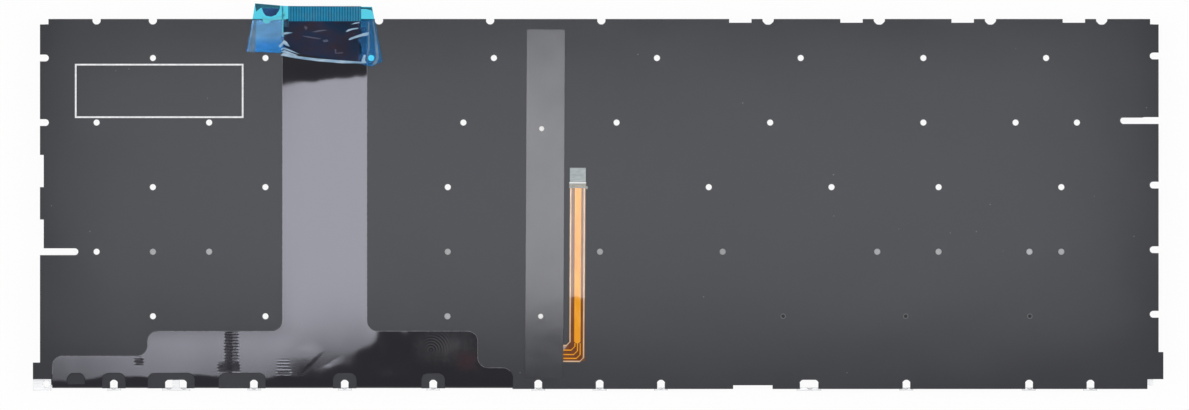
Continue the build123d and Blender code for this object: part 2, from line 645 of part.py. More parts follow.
def make_moving_cap(key):
    """A keycap that is hollow towards the board."""
    width, depth = key.cap_width - 2 * CAP_SKIRT_WALL, key.cap_depth - 2 * CAP_SKIRT_WALL
    height = CAP_HEIGHT - CAP_TOP_WALL
    return make_fixed_cap(key) - Pos(key.x, key.y, CAP_TOP_WALL + height / 2) * Box(width, depth, height)


def make_dome(key):
    """A rubber dome from the membrane to the cap, which is nearer to it where the cap is solid."""
    height = MEMBRANE_Z - (CAP_TOP_WALL if key.name in MOVING_KEYS else CAP_HEIGHT)
    return Pos(key.x, key.y, MEMBRANE_Z) * frustum(DOME_BASE, DOME_BASE, (DOME_BASE - DOME_TOP) / 2, height)


def link_length():
    return ROW_PITCH - KEY_GAP - 2 * CAP_SKIRT_WALL - 2 * LINK_LENGTH_CLEARANCE


def link_width():
    return KEY_PITCH - KEY_GAP - 2 * CAP_SKIRT_WALL - 2 * LINK_SIDE_CLEARANCE


def link_tilt():
    """The angle at which a link just reaches from the membrane to the cap."""
    rise = MEMBRANE_Z - CAP_TOP_WALL - 2 * LINK_END_CLEARANCE
    length = link_length()
    slant = math.asin(rise / math.hypot(length, LINK_THICKNESS))
    return math.degrees(slant - math.atan2(LINK_THICKNESS, length))


def make_link(x, y, width, tilt):
    """A U-shaped link, tilted about the middle of its length."""
    length = link_length()
    frame = Rectangle(width, length)
    frame -= Pos(0, LINK_BAR) * Rectangle(width - 2 * LINK_BAR, length)
    link = extrude(frame, amount=LINK_THICKNESS / 2, both=True)
    return Pos(x, y, (CAP_TOP_WALL + MEMBRANE_Z) / 2) * Rot(tilt, 0, 0) * link


def link_places():
    """The middle of every pair of links: one for each moving key, and two for the space bar."""
    places = [(KEYS[name].x, KEYS[name].y) for name in MOVING_KEYS if name != "space"]
    space = KEYS["space"]
    reach = wire_span() / 2 - WIRE_PIN - LINK_WIRE_GAP - link_width() / 2
    return places + [(space.x + side * reach, space.y) for side in (-1, 1)]


def make_outer_links():
    return Compound(children=[make_link(x, y, link_width(), link_tilt()) for x, y in link_places()])


def make_inner_links():
    width = link_width() - 2 * (LINK_BAR + LINK_GAP)
    return Compound(children=[make_link(x, y, width, -link_tilt()) for x, y in link_places()])


def wire_span():
    """The length of the stabiliser's bar, which stays inside the space bar's skirt."""
    return KEYS["space"].cap_width - 2 * CAP_SKIRT_WALL - 2 * WIRE_END_CLEARANCE


def make_space_stabiliser():
    """A bent wire: its round bar turns on the board and its two flattened arms keep the space bar level."""
    space = KEYS["space"]
    radius = WIRE_DIAMETER / 2
    bar_y = space.y - space.cap_depth / 2 + CAP_SKIRT_WALL + WIRE_EDGE_CLEARANCE + radius
    bar_z = MEMBRANE_Z - WIRE_CLEARANCE - radius
    pin_z = CAP_TOP_WALL + WIRE_CLEARANCE + radius
    pin_y = bar_y + math.sqrt(WIRE_ARM**2 - (bar_z - pin_z)**2)
    wire = Pos(space.x, bar_y, bar_z) * Rot(0, 90, 0) * Cylinder(radius, wire_span() + WIRE_DIAMETER)
    for side in (-1, 1):
        x = space.x + side * wire_span() / 2
        path = Polyline((x - side * WIRE_PIN, pin_y, pin_z), (x, pin_y, pin_z), (x, bar_y, bar_z))
        section = Plane(path @ 0, z_dir=path % 0) * Rectangle(WIRE_ARM_SIDE, WIRE_ARM_SIDE)
        wire += sweep(section, path=path, transition=Transition.RIGHT)
    return wire


def make_nodes():
    nodes = {
        "base_plate": make_base_plate(),
        "membrane": make_membrane(),
        "tail_stiffener": make_tail_stiffener(),
        "connector_wrap": make_connector_wrap(),
        "light_guide": make_light_guide(),
        "back_film": make_back_film(),
        "backlight_flex": make_backlight_flex(),
        "flex_stiffener": make_flex_stiffener(),
        "strip_tape": make_strip_tape(),
        "lights": make_lights(),
        "rubber_domes": Compound(children=[make_dome(key) for key in KEYS.values()]),
        "outer_links": make_outer_links(),
        "inner_links": make_inner_links(),
        "space_stabiliser": make_space_stabiliser(),
    }
    for group, names in FIXED_GROUPS.items():
        nodes[group] = Compound(children=[make_fixed_cap(KEYS[name]) for name in names])
    for name in MOVING_KEYS:
        nodes[f"key_{name}"] = make_moving_cap(KEYS[name])
    return nodes


os.makedirs("parts", exist_ok=True)
for node, shape in make_nodes().items():
    export_step(shape, f"parts/{node}.step")
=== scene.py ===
# %% [markdown]
# # A laptop keyboard, lying on its keys
# The object is a replacement keyboard for a laptop, seen from its back: a dark film over
# a light guide and a pressed plate, a folded membrane with its connector tail, a strip of
# lights under a tape, and the keys underneath. The CAD model gives the sizes and the
# places of all of it. This lesson loads that model and dresses it piece by piece, so that
# each piece gets the shape and the finish that the plain solids don't carry.

# %% Load the shared frame
import json
import math

import bmesh
import bpy
from mathutils import Matrix, Vector, noise

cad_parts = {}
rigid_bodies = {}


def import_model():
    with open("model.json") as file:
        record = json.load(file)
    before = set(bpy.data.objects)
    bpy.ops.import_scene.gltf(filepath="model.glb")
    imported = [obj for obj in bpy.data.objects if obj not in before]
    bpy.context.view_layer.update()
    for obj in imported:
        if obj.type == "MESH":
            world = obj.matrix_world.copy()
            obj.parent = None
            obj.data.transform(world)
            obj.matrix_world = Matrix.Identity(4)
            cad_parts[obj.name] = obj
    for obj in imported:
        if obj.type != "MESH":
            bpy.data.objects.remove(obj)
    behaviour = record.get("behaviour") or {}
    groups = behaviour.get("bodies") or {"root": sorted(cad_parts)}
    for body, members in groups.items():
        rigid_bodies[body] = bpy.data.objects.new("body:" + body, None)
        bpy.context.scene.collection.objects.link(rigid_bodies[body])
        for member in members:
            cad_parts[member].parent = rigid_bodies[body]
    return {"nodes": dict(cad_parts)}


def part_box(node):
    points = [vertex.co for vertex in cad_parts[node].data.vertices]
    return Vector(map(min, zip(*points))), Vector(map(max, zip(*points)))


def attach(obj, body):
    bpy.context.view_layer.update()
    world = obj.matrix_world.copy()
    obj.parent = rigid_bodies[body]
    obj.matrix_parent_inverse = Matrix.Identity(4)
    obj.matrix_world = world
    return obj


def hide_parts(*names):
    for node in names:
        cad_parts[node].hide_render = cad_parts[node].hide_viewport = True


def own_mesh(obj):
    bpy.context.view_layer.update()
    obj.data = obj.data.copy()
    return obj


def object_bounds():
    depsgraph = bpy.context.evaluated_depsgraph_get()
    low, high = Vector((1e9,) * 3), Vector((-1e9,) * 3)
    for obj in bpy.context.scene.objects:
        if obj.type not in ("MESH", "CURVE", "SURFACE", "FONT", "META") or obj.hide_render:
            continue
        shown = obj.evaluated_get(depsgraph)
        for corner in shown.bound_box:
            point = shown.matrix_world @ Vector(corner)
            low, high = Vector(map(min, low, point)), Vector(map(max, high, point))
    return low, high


for leftover in list(bpy.data.objects):
    bpy.data.objects.remove(leftover)
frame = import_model()
cad_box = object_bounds()
bpy.ops.object.select_all(action="DESELECT")
MM = 0.001

# %% [markdown]
# ## The camera
# The photograph looks straight down on the back. One millimetre of the back film has the
# same length everywhere in it, so a long lens far away fits. Two named values tie the
# photograph to the frame: how many millimetres one of its pixels covers, and where the
# frame's origin lies in it. A helper turns a place in the photograph into a place on the
# board, and the camera hangs above the middle of the picture.

# %% Camera above the board
PHOTO_WIDTH, PHOTO_HEIGHT = 1189, 410
MM_PER_PIXEL = 0.295
ORIGIN_X, ORIGIN_Y = 598.11, 197.05
LENS, SENSOR = 150.0, 36.0


def on_board(pixel_x, pixel_y):
    """A place in the photograph, as X and Y on the board in metres."""
    step = MM_PER_PIXEL * MM
    return (pixel_x - ORIGIN_X) * step, (ORIGIN_Y - pixel_y) * step


def column_at(pixel_x):
    """X on the board of a column of the photograph."""
    return on_board(pixel_x, 0.0)[0]


def row_at(pixel_y):
    """Y on the board of a row of the photograph."""
    return on_board(0.0, pixel_y)[1]


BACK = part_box("back_film")[1].z
view_x, view_y = on_board(PHOTO_WIDTH / 2, PHOTO_HEIGHT / 2)
camera_distance = PHOTO_WIDTH * MM_PER_PIXEL * MM * LENS / SENSOR
bpy.ops.object.camera_add(location=(view_x, view_y, BACK + camera_distance))
camera = bpy.context.object
camera.data.lens = LENS
camera.data.sensor_width = SENSOR
camera.data.clip_start, camera.data.clip_end = 0.01, 20.0
bpy.context.scene.camera = camera
bpy.context.scene.view_settings.view_transform = "Standard"
print("camera", round(camera_distance, 4), "m above the film")

# %% [markdown]
# ## The light
# The glossy films show one wide, low softbox: the middle of the board is brighter than
# its edges. A mirror image seen from the camera covers less than the lamp itself, by the
# ratio of the two path lengths, so the softbox is made as large as that ratio asks for.
# Two large panels at the sides and a pale world bring the plain surfaces up to the level
# at which a colour renders as it is written.

# %% Softbox, side panels and world
SOFTBOX_HEIGHT = 2.2
SOFTBOX_RADIANCE = 15.0
GLOW_WIDTH, GLOW_TOP, GLOW_BOTTOM = 322 * MM, 53 * MM, -44 * MM
mirror_ratio = 1 + SOFTBOX_HEIGHT / camera_distance


def add_panel(name, place, size, power, turn=(0.0, 0.0, 0.0)):
    """A rectangular area lamp that the camera itself doesn't see."""
    bpy.ops.object.light_add(type="AREA", location=place, rotation=turn)
    panel = bpy.context.object
    panel.name = name
    panel.data.shape = "RECTANGLE"
    panel.data.size, panel.data.size_y = size
    panel.data.energy = power
    panel.visible_camera = False
    return panel


def over_board(middle, eye):
    """Where a lamp hangs so that its mirror image is centred on this place of the board."""
    return eye + (middle - eye) * mirror_ratio


softbox_size = (GLOW_WIDTH * mirror_ratio, (GLOW_TOP - GLOW_BOTTOM) * mirror_ratio)
softbox_middle = (GLOW_TOP + GLOW_BOTTOM) / 2
add_panel("softbox", (over_board(0.0, view_x), over_board(softbox_middle, view_y), SOFTBOX_HEIGHT),
          softbox_size, SOFTBOX_RADIANCE * math.pi * softbox_size[0] * softbox_size[1])
PANEL_REACH, PANEL_HEIGHT, PANEL_SIZE, PANEL_POWER = 1.6, 1.4, 1.2, 13.5
for side in (-1, 1):
    add_panel(f"side_panel_{side}", (PANEL_REACH * side, 0.0, PANEL_HEIGHT), (PANEL_SIZE, PANEL_SIZE),
              PANEL_POWER, (0.0, side * math.atan2(PANEL_REACH, PANEL_HEIGHT), 0.0))
print("softbox", [round(length, 3) for length in softbox_size], "m")


def add_node(tree, kind, inputs=None, **settings):
    """A shader node with its settings made and its inputs filled or linked."""
    made = tree.nodes.new(kind)
    for name, value in settings.items():
        setattr(made, name, value)
    for name, value in (inputs or {}).items():
        if isinstance(value, bpy.types.NodeSocket):
            tree.links.new(value, made.inputs[name])
        else:
            made.inputs[name].default_value = value
    return made


def span(tree, share, low, high):
    """A share from nought to one, spread from low to high."""
    return add_node(tree, "ShaderNodeMapRange", {"Value": share, "To Min": low, "To Max": high}).outputs[0]


def direct_view(tree):
    """One for rays that look at a surface or see it in a mirror, nought for its light."""
    path = add_node(tree, "ShaderNodeLightPath")
    glossy = add_node(tree, "ShaderNodeMath", {0: path.outputs["Is Camera Ray"],
                                               1: path.outputs["Is Glossy Ray"]}, operation="MAXIMUM")
    return add_node(tree, "ShaderNodeMath", {0: glossy.outputs[0],
                                             1: path.outputs["Is Transmission Ray"]},
                    operation="MAXIMUM").outputs[0]


world = bpy.data.worlds.new("studio")
world.use_nodes = True
bpy.context.scene.world = world
sky = world.node_tree
strength = span(sky, direct_view(sky), 0.4, 1.0)
sky.nodes["Background"].inputs["Color"].default_value = (1.0, 1.0, 1.0, 1.0)
sky.links.new(strength, sky.nodes["Background"].inputs["Strength"])

# %% [markdown]
# ## The floor
# The photograph's ground is plain white. A white sheet just under the keys glows, as a
# light table does, and still takes a faint shadow. Its underside is clear, so that views
# from below show the keys, which its glow lights.

# %% White floor
bpy.ops.mesh.primitive_plane_add(size=6.0, location=(0.0, 0.0, cad_box[0].z - 0.2 * MM))
floor = bpy.context.object
floor.name = "floor"
bpy.ops.object.transform_apply(location=True, rotation=False, scale=False)
paper = bpy.data.materials.new("white_paper")
paper.use_nodes = True
tree = paper.node_tree
tree.nodes.remove(tree.nodes["Principled BSDF"])
matt = add_node(tree, "ShaderNodeBsdfDiffuse", {"Color": (0.9, 0.9, 0.9, 1.0)})
glow_level = span(tree, direct_view(tree), 0.45, 1.0)
glow = add_node(tree, "ShaderNodeEmission", {"Strength": glow_level})
lit = add_node(tree, "ShaderNodeMixShader", {0: 0.94, 1: matt.outputs[0], 2: glow.outputs[0]})
clear = add_node(tree, "ShaderNodeBsdfTransparent")
seen_from = add_node(tree, "ShaderNodeNewGeometry")
both = add_node(tree, "ShaderNodeMixShader", {0: seen_from.outputs["Backfacing"],
                                              1: lit.outputs[0], 2: clear.outputs[0]})
tree.links.new(both.outputs[0], tree.nodes["Material Output"].inputs["Surface"])
floor.data.materials.append(paper)
print("floor at", round(floor.data.vertices[0].co.z / MM, 2), "mm")

# %% [markdown]
# ## Shared surface effects
# Four effects come back on many of the pieces: soft blotches where a sheet is a little
# duller, a fine grain, the slow waves of a thin sheet that isn't quite flat, and specks of
# dust. Each is one node group with named inputs. All of them read Object coordinates,
# because every piece sits at the origin, so that a pattern keeps its place.

# %% Node groups
def new_effect(name, inputs, outputs):
    """An empty shader node group with these float inputs and outputs, and a Vector input."""
    effect = bpy.data.node_groups.new(name, "ShaderNodeTree")
    effect.interface.new_socket("Vector", in_out="INPUT", socket_type="NodeSocketVector")
    for title, value in inputs.items():
        socket = effect.interface.new_socket(title, in_out="INPUT", socket_type="NodeSocketFloat")
        socket.default_value = value
    for title in outputs:
        effect.interface.new_socket(title, in_out="OUTPUT", socket_type="NodeSocketFloat")
    return effect, effect.nodes.new("NodeGroupInput").outputs, effect.nodes.new("NodeGroupOutput").inputs


blotches, given, result = new_effect("soft_blotches", {"Scale": 60.0, "Low": 0.0, "High": 1.0}, ["Value"])
clouds = add_node(blotches, "ShaderNodeTexNoise", {"Vector": given["Vector"], "Scale": given["Scale"],
                                                  "Detail": 4.0, "Roughness": 0.55})
spread = add_node(blotches, "ShaderNodeMapRange", {"Value": clouds.outputs[0], "From Min": 0.32,
                                                  "From Max": 0.68, "To Min": given["Low"],
                                                  "To Max": given["High"]})
blotches.links.new(spread.outputs[0], result["Value"])

grain, given, result = new_effect("fine_grain", {"Scale": 3000.0, "Depth": 1e-6}, ["Height"])
salt = add_node(grain, "ShaderNodeTexNoise", {"Vector": given["Vector"], "Scale": given["Scale"],
                                              "Detail": 2.0})
depth = add_node(grain, "ShaderNodeMath", {0: salt.outputs[0], 1: given["Depth"]}, operation="MULTIPLY")
grain.links.new(depth.outputs[0], result["Height"])

waves, given, result = new_effect("sheet_waves", {"Scale": 40.0, "Depth": 1e-5}, ["Height"])
swell = add_node(waves, "ShaderNodeTexNoise", {"Vector": given["Vector"], "Scale": given["Scale"],
                                               "Detail": 1.0, "Roughness": 0.4})
depth = add_node(waves, "ShaderNodeMath", {0: swell.outputs[0], 1: given["Depth"]}, operation="MULTIPLY")
waves.links.new(depth.outputs[0], result["Height"])

specks, given, result = new_effect("dust_specks", {"Scale": 300.0, "Size": 0.08, "Share": 0.15}, ["Mask"])
cells = add_node(specks, "ShaderNodeTexVoronoi", {"Vector": given["Vector"], "Scale": given["Scale"]})
near = add_node(specks, "ShaderNodeMath", {0: cells.outputs["Distance"], 1: given["Size"]},
                operation="LESS_THAN")
lot = add_node(specks, "ShaderNodeSeparateColor", {0: cells.outputs["Color"]})
rare = add_node(specks, "ShaderNodeMath", {0: lot.outputs[0], 1: given["Share"]}, operation="LESS_THAN")
hit = add_node(specks, "ShaderNodeMath", {0: near.outputs[0], 1: rare.outputs[0]}, operation="MULTIPLY")
specks.links.new(hit.outputs[0], result["Mask"])
print(len(bpy.data.node_groups), "shared effects")

# %% Helpers for finishes
def new_finish(name, colour, roughness, specular, metallic=0.0, tint=(1.0, 1.0, 1.0)):
    """A material with plain shader values, its node tree, shader and Object coordinates."""
    finish = bpy.data.materials.new(name)
    finish.use_nodes = True
    finish.diffuse_color = (*colour, 1.0)
    shader = finish.node_tree.nodes["Principled BSDF"]
    shader.inputs["Base Color"].default_value = (*colour, 1.0)
    shader.inputs["Roughness"].default_value = roughness
    shader.inputs["Specular IOR Level"].default_value = specular
    shader.inputs["Metallic"].default_value = metallic
    shader.inputs["Specular Tint"].default_value = (*tint, 1.0)
    place = add_node(finish.node_tree, "ShaderNodeTexCoord").outputs["Object"]
    return finish, finish.node_tree, shader, place


def use_effect(tree, effect, place, **values):
    """One shared effect placed in a material with its own values; gives its output."""
    made = add_node(tree, "ShaderNodeGroup", node_tree=effect)
    tree.links.new(place, made.inputs["Vector"])
    for title, value in values.items():
        made.inputs[title].default_value = value
    return made.outputs[0]


def combine(tree, operation, first, second, third=0.0):
    """A Math node; each of its inputs is a number or another node's output."""
    return add_node(tree, "ShaderNodeMath", {0: first, 1: second, 2: third}, operation=operation).outputs[0]


def blend_colours(tree, share, first, second):
    """A colour between two others, each a triple or another node's output."""
    both = [colour if isinstance(colour, bpy.types.NodeSocket) else (*colour, 1.0)
            for colour in (first, second)]
    mix = add_node(tree, "ShaderNodeMix", {0: share, 6: both[0], 7: both[1]}, data_type="RGBA")
    return mix.outputs[2]


def paint(tree, shader, share, first, second):
    """Gives the shader a base colour between two others."""
    tree.links.new(blend_colours(tree, share, first, second), shader.inputs["Base Color"])


def two_tone(tree, shader, place, scale, first, second):
    """Gives the shader a base colour that wanders between two others."""
    paint(tree, shader, use_effect(tree, blotches, place, Scale=scale, Low=0.0, High=1.0), first, second)


def roughen(tree, shader, level):
    """Gives the shader a roughness that varies."""
    tree.links.new(level, shader.inputs["Roughness"])


def add_bump(tree, shader, height):
    """Turns a height in metres into the shader's normal."""
    bump = add_node(tree, "ShaderNodeBump", {"Strength": 1.0, "Distance": 1.0, "Height": height})
    tree.links.new(bump.outputs[0], shader.inputs["Normal"])


def ramp(tree, value, start, end):
    """Nought before start, one after end, and eased between them."""
    return add_node(tree, "ShaderNodeMapRange", {"Value": value, "From Min": start, "From Max": end},
                    interpolation_type="SMOOTHSTEP").outputs[0]


def spot_mask(tree, place, centre, half, soft, uneven=0.0):
    """One inside a rectangle on the board, nought outside it, with a soft and uneven border."""
    axes = add_node(tree, "ShaderNodeSeparateXYZ", {0: place}).outputs
    sides = []
    for axis in (0, 1):
        shifted = stretch(tree, place, (1.0, 1.0 + 0.2 * axis, 1.0))
        nudge = use_effect(tree, waves, shifted, Scale=700.0, Depth=2 * uneven)
        off = combine(tree, "SUBTRACT", axes[axis], centre[axis] + uneven)
        off = combine(tree, "ABSOLUTE", combine(tree, "ADD", off, nudge), 0.0)
        sides.append(ramp(tree, off, half[axis] + soft, half[axis] - soft))
    return combine(tree, "MULTIPLY", *sides)


def stretch(tree, place, factors):
    """Object coordinates drawn out, so that a pattern runs along one direction."""
    return add_node(tree, "ShaderNodeMapping", {"Vector": place, "Scale": factors}).outputs[0]


def along_way(tree, axes, way):
    """How far a place lies along a direction on the board."""
    return combine(tree, "ADD", combine(tree, "MULTIPLY", axes[0], way.x),
                   combine(tree, "MULTIPLY", axes[1], way.y))


# %% [markdown]
# ## Helpers for meshes
# A piece of the CAD model comes in as loose triangles. A copy of it is merged and its flat
# faces are made whole, and it is then as easy to bevel, inset and cut as a primitive. The
# helpers select by place, because nothing can be clicked here.

# %% Copying, selecting and finishing a piece
def pick(piece):
    """Leaves only this object selected and active."""
    bpy.ops.object.select_all(action="DESELECT")
    piece.select_set(True)
    bpy.context.view_layer.objects.active = piece
    return piece


def join_pieces(pieces, name):
    """Several objects as one."""
    pick(pieces[0])
    for piece in pieces:
        piece.select_set(True)
    bpy.ops.object.join()
    bpy.context.object.name = name
    return bpy.context.object


def merged_copy(node, name):
    """A copy of a CAD node with its triangles joined into whole faces."""
    piece = bpy.data.objects.new(name, frame["nodes"][node].data.copy())
    bpy.context.scene.collection.objects.link(piece)
    piece.data.materials.clear()
    pick(piece)
    bpy.ops.mesh.customdata_custom_splitnormals_clear()
    bpy.ops.object.mode_set(mode="EDIT")
    bpy.ops.mesh.select_all(action="SELECT")
    bpy.ops.mesh.remove_doubles(threshold=1e-6)
    bpy.ops.mesh.dissolve_limited(angle_limit=math.radians(0.5))
    bpy.ops.object.mode_set(mode="OBJECT")
    return piece


def choose(piece, kind, test):
    """In edit mode, selects the faces or edges that pass a test, and counts them."""
    bpy.ops.mesh.select_mode(type=kind)
    bpy.ops.mesh.select_all(action="DESELECT")
    form = bmesh.from_edit_mesh(piece.data)
    parts = [part for part in (form.faces if kind == "FACE" else form.edges) if test(part)]
    for part in parts:
        part.select_set(True)
    bmesh.update_edit_mesh(piece.data)
    return len(parts)


def upright(edge):
    """An edge that climbs through the thickness of a piece."""
    return abs(edge.verts[0].co.z - edge.verts[1].co.z) > 0.03 * MM


def at_height(edge, z):
    """An edge that lies level at this height."""
    return all(abs(corner.co.z - z) < 0.005 * MM for corner in edge.verts)


def is_sharp(edge, degrees=30.0):
    """An edge where two faces meet at more than this angle."""
    return len(edge.link_faces) == 2 and edge.calc_face_angle() > math.radians(degrees)


def start_edit(piece):
    """Opens a piece for modelling."""
    pick(piece)
    bpy.ops.object.mode_set(mode="EDIT")


def end_edit():
    """Makes the faces of the open piece point outwards, and closes it."""
    bpy.ops.mesh.select_all(action="SELECT")
    bpy.ops.mesh.normals_make_consistent(inside=False)
    bpy.ops.object.mode_set(mode="OBJECT")


def finish_piece(piece, finishes, body="module", nodes=(), smooth=35.0):
    """Shading, material and body of a finished piece; hides the nodes it stands for."""
    pick(piece)
    bpy.ops.object.shade_smooth_by_angle(angle=math.radians(smooth))
    even = piece.modifiers.new("even_normals", "WEIGHTED_NORMAL")
    even.keep_sharp = True
    bpy.ops.object.modifier_apply(modifier=even.name)
    piece.data.materials.clear()
    for finish in finishes:
        piece.data.materials.append(finish)
    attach(piece, body)
    if nodes:
        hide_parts(*nodes)
    return piece


# %% [markdown]
# ## The back film
# A dark polyester film covers the whole back. Posts of the keyboard's mechanism show in
# it as rows of small round holes. The CAD model has them as octagons, to stay light, so a
# bevel on their upright edges makes them round. Its tongues at the lower edge are widened
# a little, so that no light shows beside the fold. Its finish has a dull gloss, a very fine
# grain, soft blotches and some dust.

# %% Finish of the film
film_finish, tree, shader, place = new_finish("dark_film", (0.037, 0.038, 0.044), 0.11, 0.055,
                                              tint=(0.92, 0.94, 1.0))
dull = use_effect(tree, blotches, place, Scale=38.0, Low=0.0, High=1.0)
dust = use_effect(tree, specks, place, Scale=260.0, Size=0.05, Share=0.10)
tone = blend_colours(tree, dull, (0.0355, 0.0365, 0.0425), (0.0385, 0.0395, 0.0455))
paint(tree, shader, dust, tone, (0.12, 0.12, 0.13))
roughen(tree, shader, span(tree, dull, 0.10, 0.125))
sag = use_effect(tree, waves, place, Scale=45.0, Depth=4e-5)
tooth = use_effect(tree, grain, place, Scale=5000.0, Depth=4e-7)
add_bump(tree, shader, combine(tree, "ADD", sag, tooth))

# %% Film with round holes
back_film = merged_copy("back_film", "film_sheet")
start_edit(back_film)
OCTAGON_TURN = (40.0, 50.0)


def octagon_corner(edge):
    """An upright edge between two sides of an octagon."""
    if not upright(edge) or len(edge.link_faces) != 2:
        return False
    return OCTAGON_TURN[0] < math.degrees(edge.calc_face_angle()) < OCTAGON_TURN[1]


rounded = choose(back_film, "EDGE", octagon_corner)
bpy.ops.mesh.bevel(offset=0.34 * MM, segments=3, affect="EDGES")
TONGUE_TOP, TONGUE_GROWTH = -55.6 * MM, 0.095 * MM
for side in (-1, 1):
    sides = choose(back_film, "FACE", lambda face: face.normal.x * side > 0.99
                   and face.calc_center_median().y < TONGUE_TOP)
    bpy.ops.transform.translate(value=(side * TONGUE_GROWTH, 0.0, 0.0))
    print(sides, "sides of tongues moved out to the fold")
end_edit()
finish_piece(back_film, [film_finish], nodes=["back_film"])
print("film", len(back_film.data.polygons), "faces,", rounded, "hole corners rounded")

# %% [markdown]
# ## The printed frame and the stakes
# A thin white rectangle is printed on the film; what it would hold is left bare. It is a
# plane that is inset, opened in the middle and given the thickness of ink. Further right,
# three small stakes are pressed through the film. Each is a low round head with a pit; the
# pit is painted much darker than the head, as painted shade in the recess.

# %% White frame
FRAME_LEFT, FRAME_TOP, FRAME_RIGHT, FRAME_BOTTOM = 74.9, 63.8, 243.5, 118.0
INK_WIDTH, INK_THICKNESS = 0.5 * MM, 0.015 * MM
ink_finish, tree, shader, place = new_finish("white_ink", (0.62, 0.63, 0.64), 0.5, 0.3)
two_tone(tree, shader, place, 900.0, (0.72, 0.73, 0.74), (0.92, 0.92, 0.93))
left, top = on_board(FRAME_LEFT, FRAME_TOP)
right, bottom = on_board(FRAME_RIGHT, FRAME_BOTTOM)
bpy.ops.object.select_all(action="DESELECT")
bpy.ops.mesh.primitive_plane_add(size=1.0, location=((left + right) / 2, (top + bottom) / 2, BACK))
printed_frame = bpy.context.object
printed_frame.name = "printed_frame"
printed_frame.scale = (right - left, top - bottom, 1.0)
bpy.ops.object.transform_apply(location=True, rotation=True, scale=True)
start_edit(printed_frame)
bpy.ops.mesh.select_all(action="SELECT")
bpy.ops.mesh.inset(thickness=INK_WIDTH)
bpy.ops.mesh.delete(type="FACE")
bpy.ops.mesh.select_all(action="SELECT")
bpy.ops.mesh.extrude_region_move(TRANSFORM_OT_translate={"value": (0.0, 0.0, INK_THICKNESS)})
end_edit()
finish_piece(printed_frame, [ink_finish])
print("printed frame", len(printed_frame.data.polygons), "faces")

# %% Three stakes
STAKE_PIXELS = ((783.2, 316.2), (905.7, 316.2), (1029.8, 316.2))
STAKE_RADIUS, STAKE_HEIGHT = 0.8 * MM, 0.06 * MM
STAKE_RIM, STAKE_WALL, STAKE_PIT = 0.24 * MM, 0.06 * MM, 0.045 * MM
# The pit is painted far darker than the rim: painted shade in the recess of each head.
pit_shade_finish, tree, shader, place = new_finish("painted_pit_shade", (0.006, 0.006, 0.007), 0.4, 0.2)
roughen(tree, shader, use_effect(tree, blotches, place, Scale=2000.0, Low=0.35, High=0.5))
rim_finish, tree, shader, place = new_finish("pressed_rim", (0.09, 0.092, 0.1), 0.3, 0.3)
roughen(tree, shader, use_effect(tree, blotches, place, Scale=2000.0, Low=0.25, High=0.4))
bpy.ops.object.select_all(action="DESELECT")
bpy.ops.mesh.primitive_cylinder_add(vertices=28, radius=STAKE_RADIUS, depth=STAKE_HEIGHT,
                                    location=(0.0, 0.0, BACK + STAKE_HEIGHT / 2))
stake = bpy.context.object
bpy.ops.object.transform_apply(location=True, rotation=True, scale=True)
start_edit(stake)
choose(stake, "FACE", lambda face: face.normal.z > 0.9)
bpy.ops.mesh.inset(thickness=STAKE_RIM)
bpy.ops.mesh.inset(thickness=STAKE_WALL)
bpy.ops.transform.translate(value=(0.0, 0.0, -STAKE_PIT))
choose(stake, "EDGE", lambda edge: at_height(edge, BACK + STAKE_HEIGHT))
bpy.ops.mesh.bevel(offset=0.02 * MM, segments=2, affect="EDGES")
end_edit()
heads = []
for pixel in STAKE_PIXELS:
    head = stake.copy()
    head.data = stake.data.copy()
    bpy.context.scene.collection.objects.link(head)
    head.data.transform(Matrix.Translation((*on_board(*pixel), 0.0)))
    heads.append(head)
bpy.data.objects.remove(stake)
stakes = join_pieces(heads, "film_stakes")
finish_piece(stakes, [rim_finish, pit_shade_finish])
# Faces inside the pit take the painted shade finish.
for face in stakes.data.polygons:
    inside = face.center.z < BACK + 0.75 * STAKE_HEIGHT and face.normal.z > 0.5
    face.material_index = 1 if inside else 0
print("stakes", len(heads))

# %% [markdown]
# ## The light guide and the plate
# Under the film lies a clear sheet that spreads the light, and under that a pressed metal
# plate. Of the guide, only the floors of the blind holes show. Of the plate, pale lips
# stand in the notches along the bottom edge. The plate's edges are broken by a small
# bevel, as a stamped edge is, so that they catch the light.

# %% Guide
# The floors of the blind holes are painted grey, darker than the pale guide would look there: painted shade
# in the holes. Soft blotches vary that grey at random.
guide_finish, tree, shader, place = new_finish("frosted_guide_painted_shade", (0.5, 0.51, 0.52), 0.35, 0.4)
milky = use_effect(tree, blotches, place, Scale=160.0, Low=0.0, High=1.0)
SHADE_SPOT_MIDDLE, SHADE_SPOT_HALF, SHADE_SPOT_SOFT = (680.0, 251.0), (30.0 * MM, 8.0 * MM), 26.0 * MM
# Painted shade: a soft spot near the middle of the board where the hole floors are darker still.
painted_shade_spot = spot_mask(tree, place, on_board(*SHADE_SPOT_MIDDLE), SHADE_SPOT_HALF, SHADE_SPOT_SOFT)
floors = blend_colours(tree, milky, (0.30, 0.31, 0.32), (0.44, 0.45, 0.46))
paint(tree, shader, painted_shade_spot, floors, (0.19, 0.195, 0.20))
light_guide = merged_copy("light_guide", "guide_sheet")
start_edit(light_guide)
choose(light_guide, "EDGE", octagon_corner)
bpy.ops.mesh.bevel(offset=0.3 * MM, segments=2, affect="EDGES")
end_edit()
finish_piece(light_guide, [guide_finish], nodes=["light_guide"])

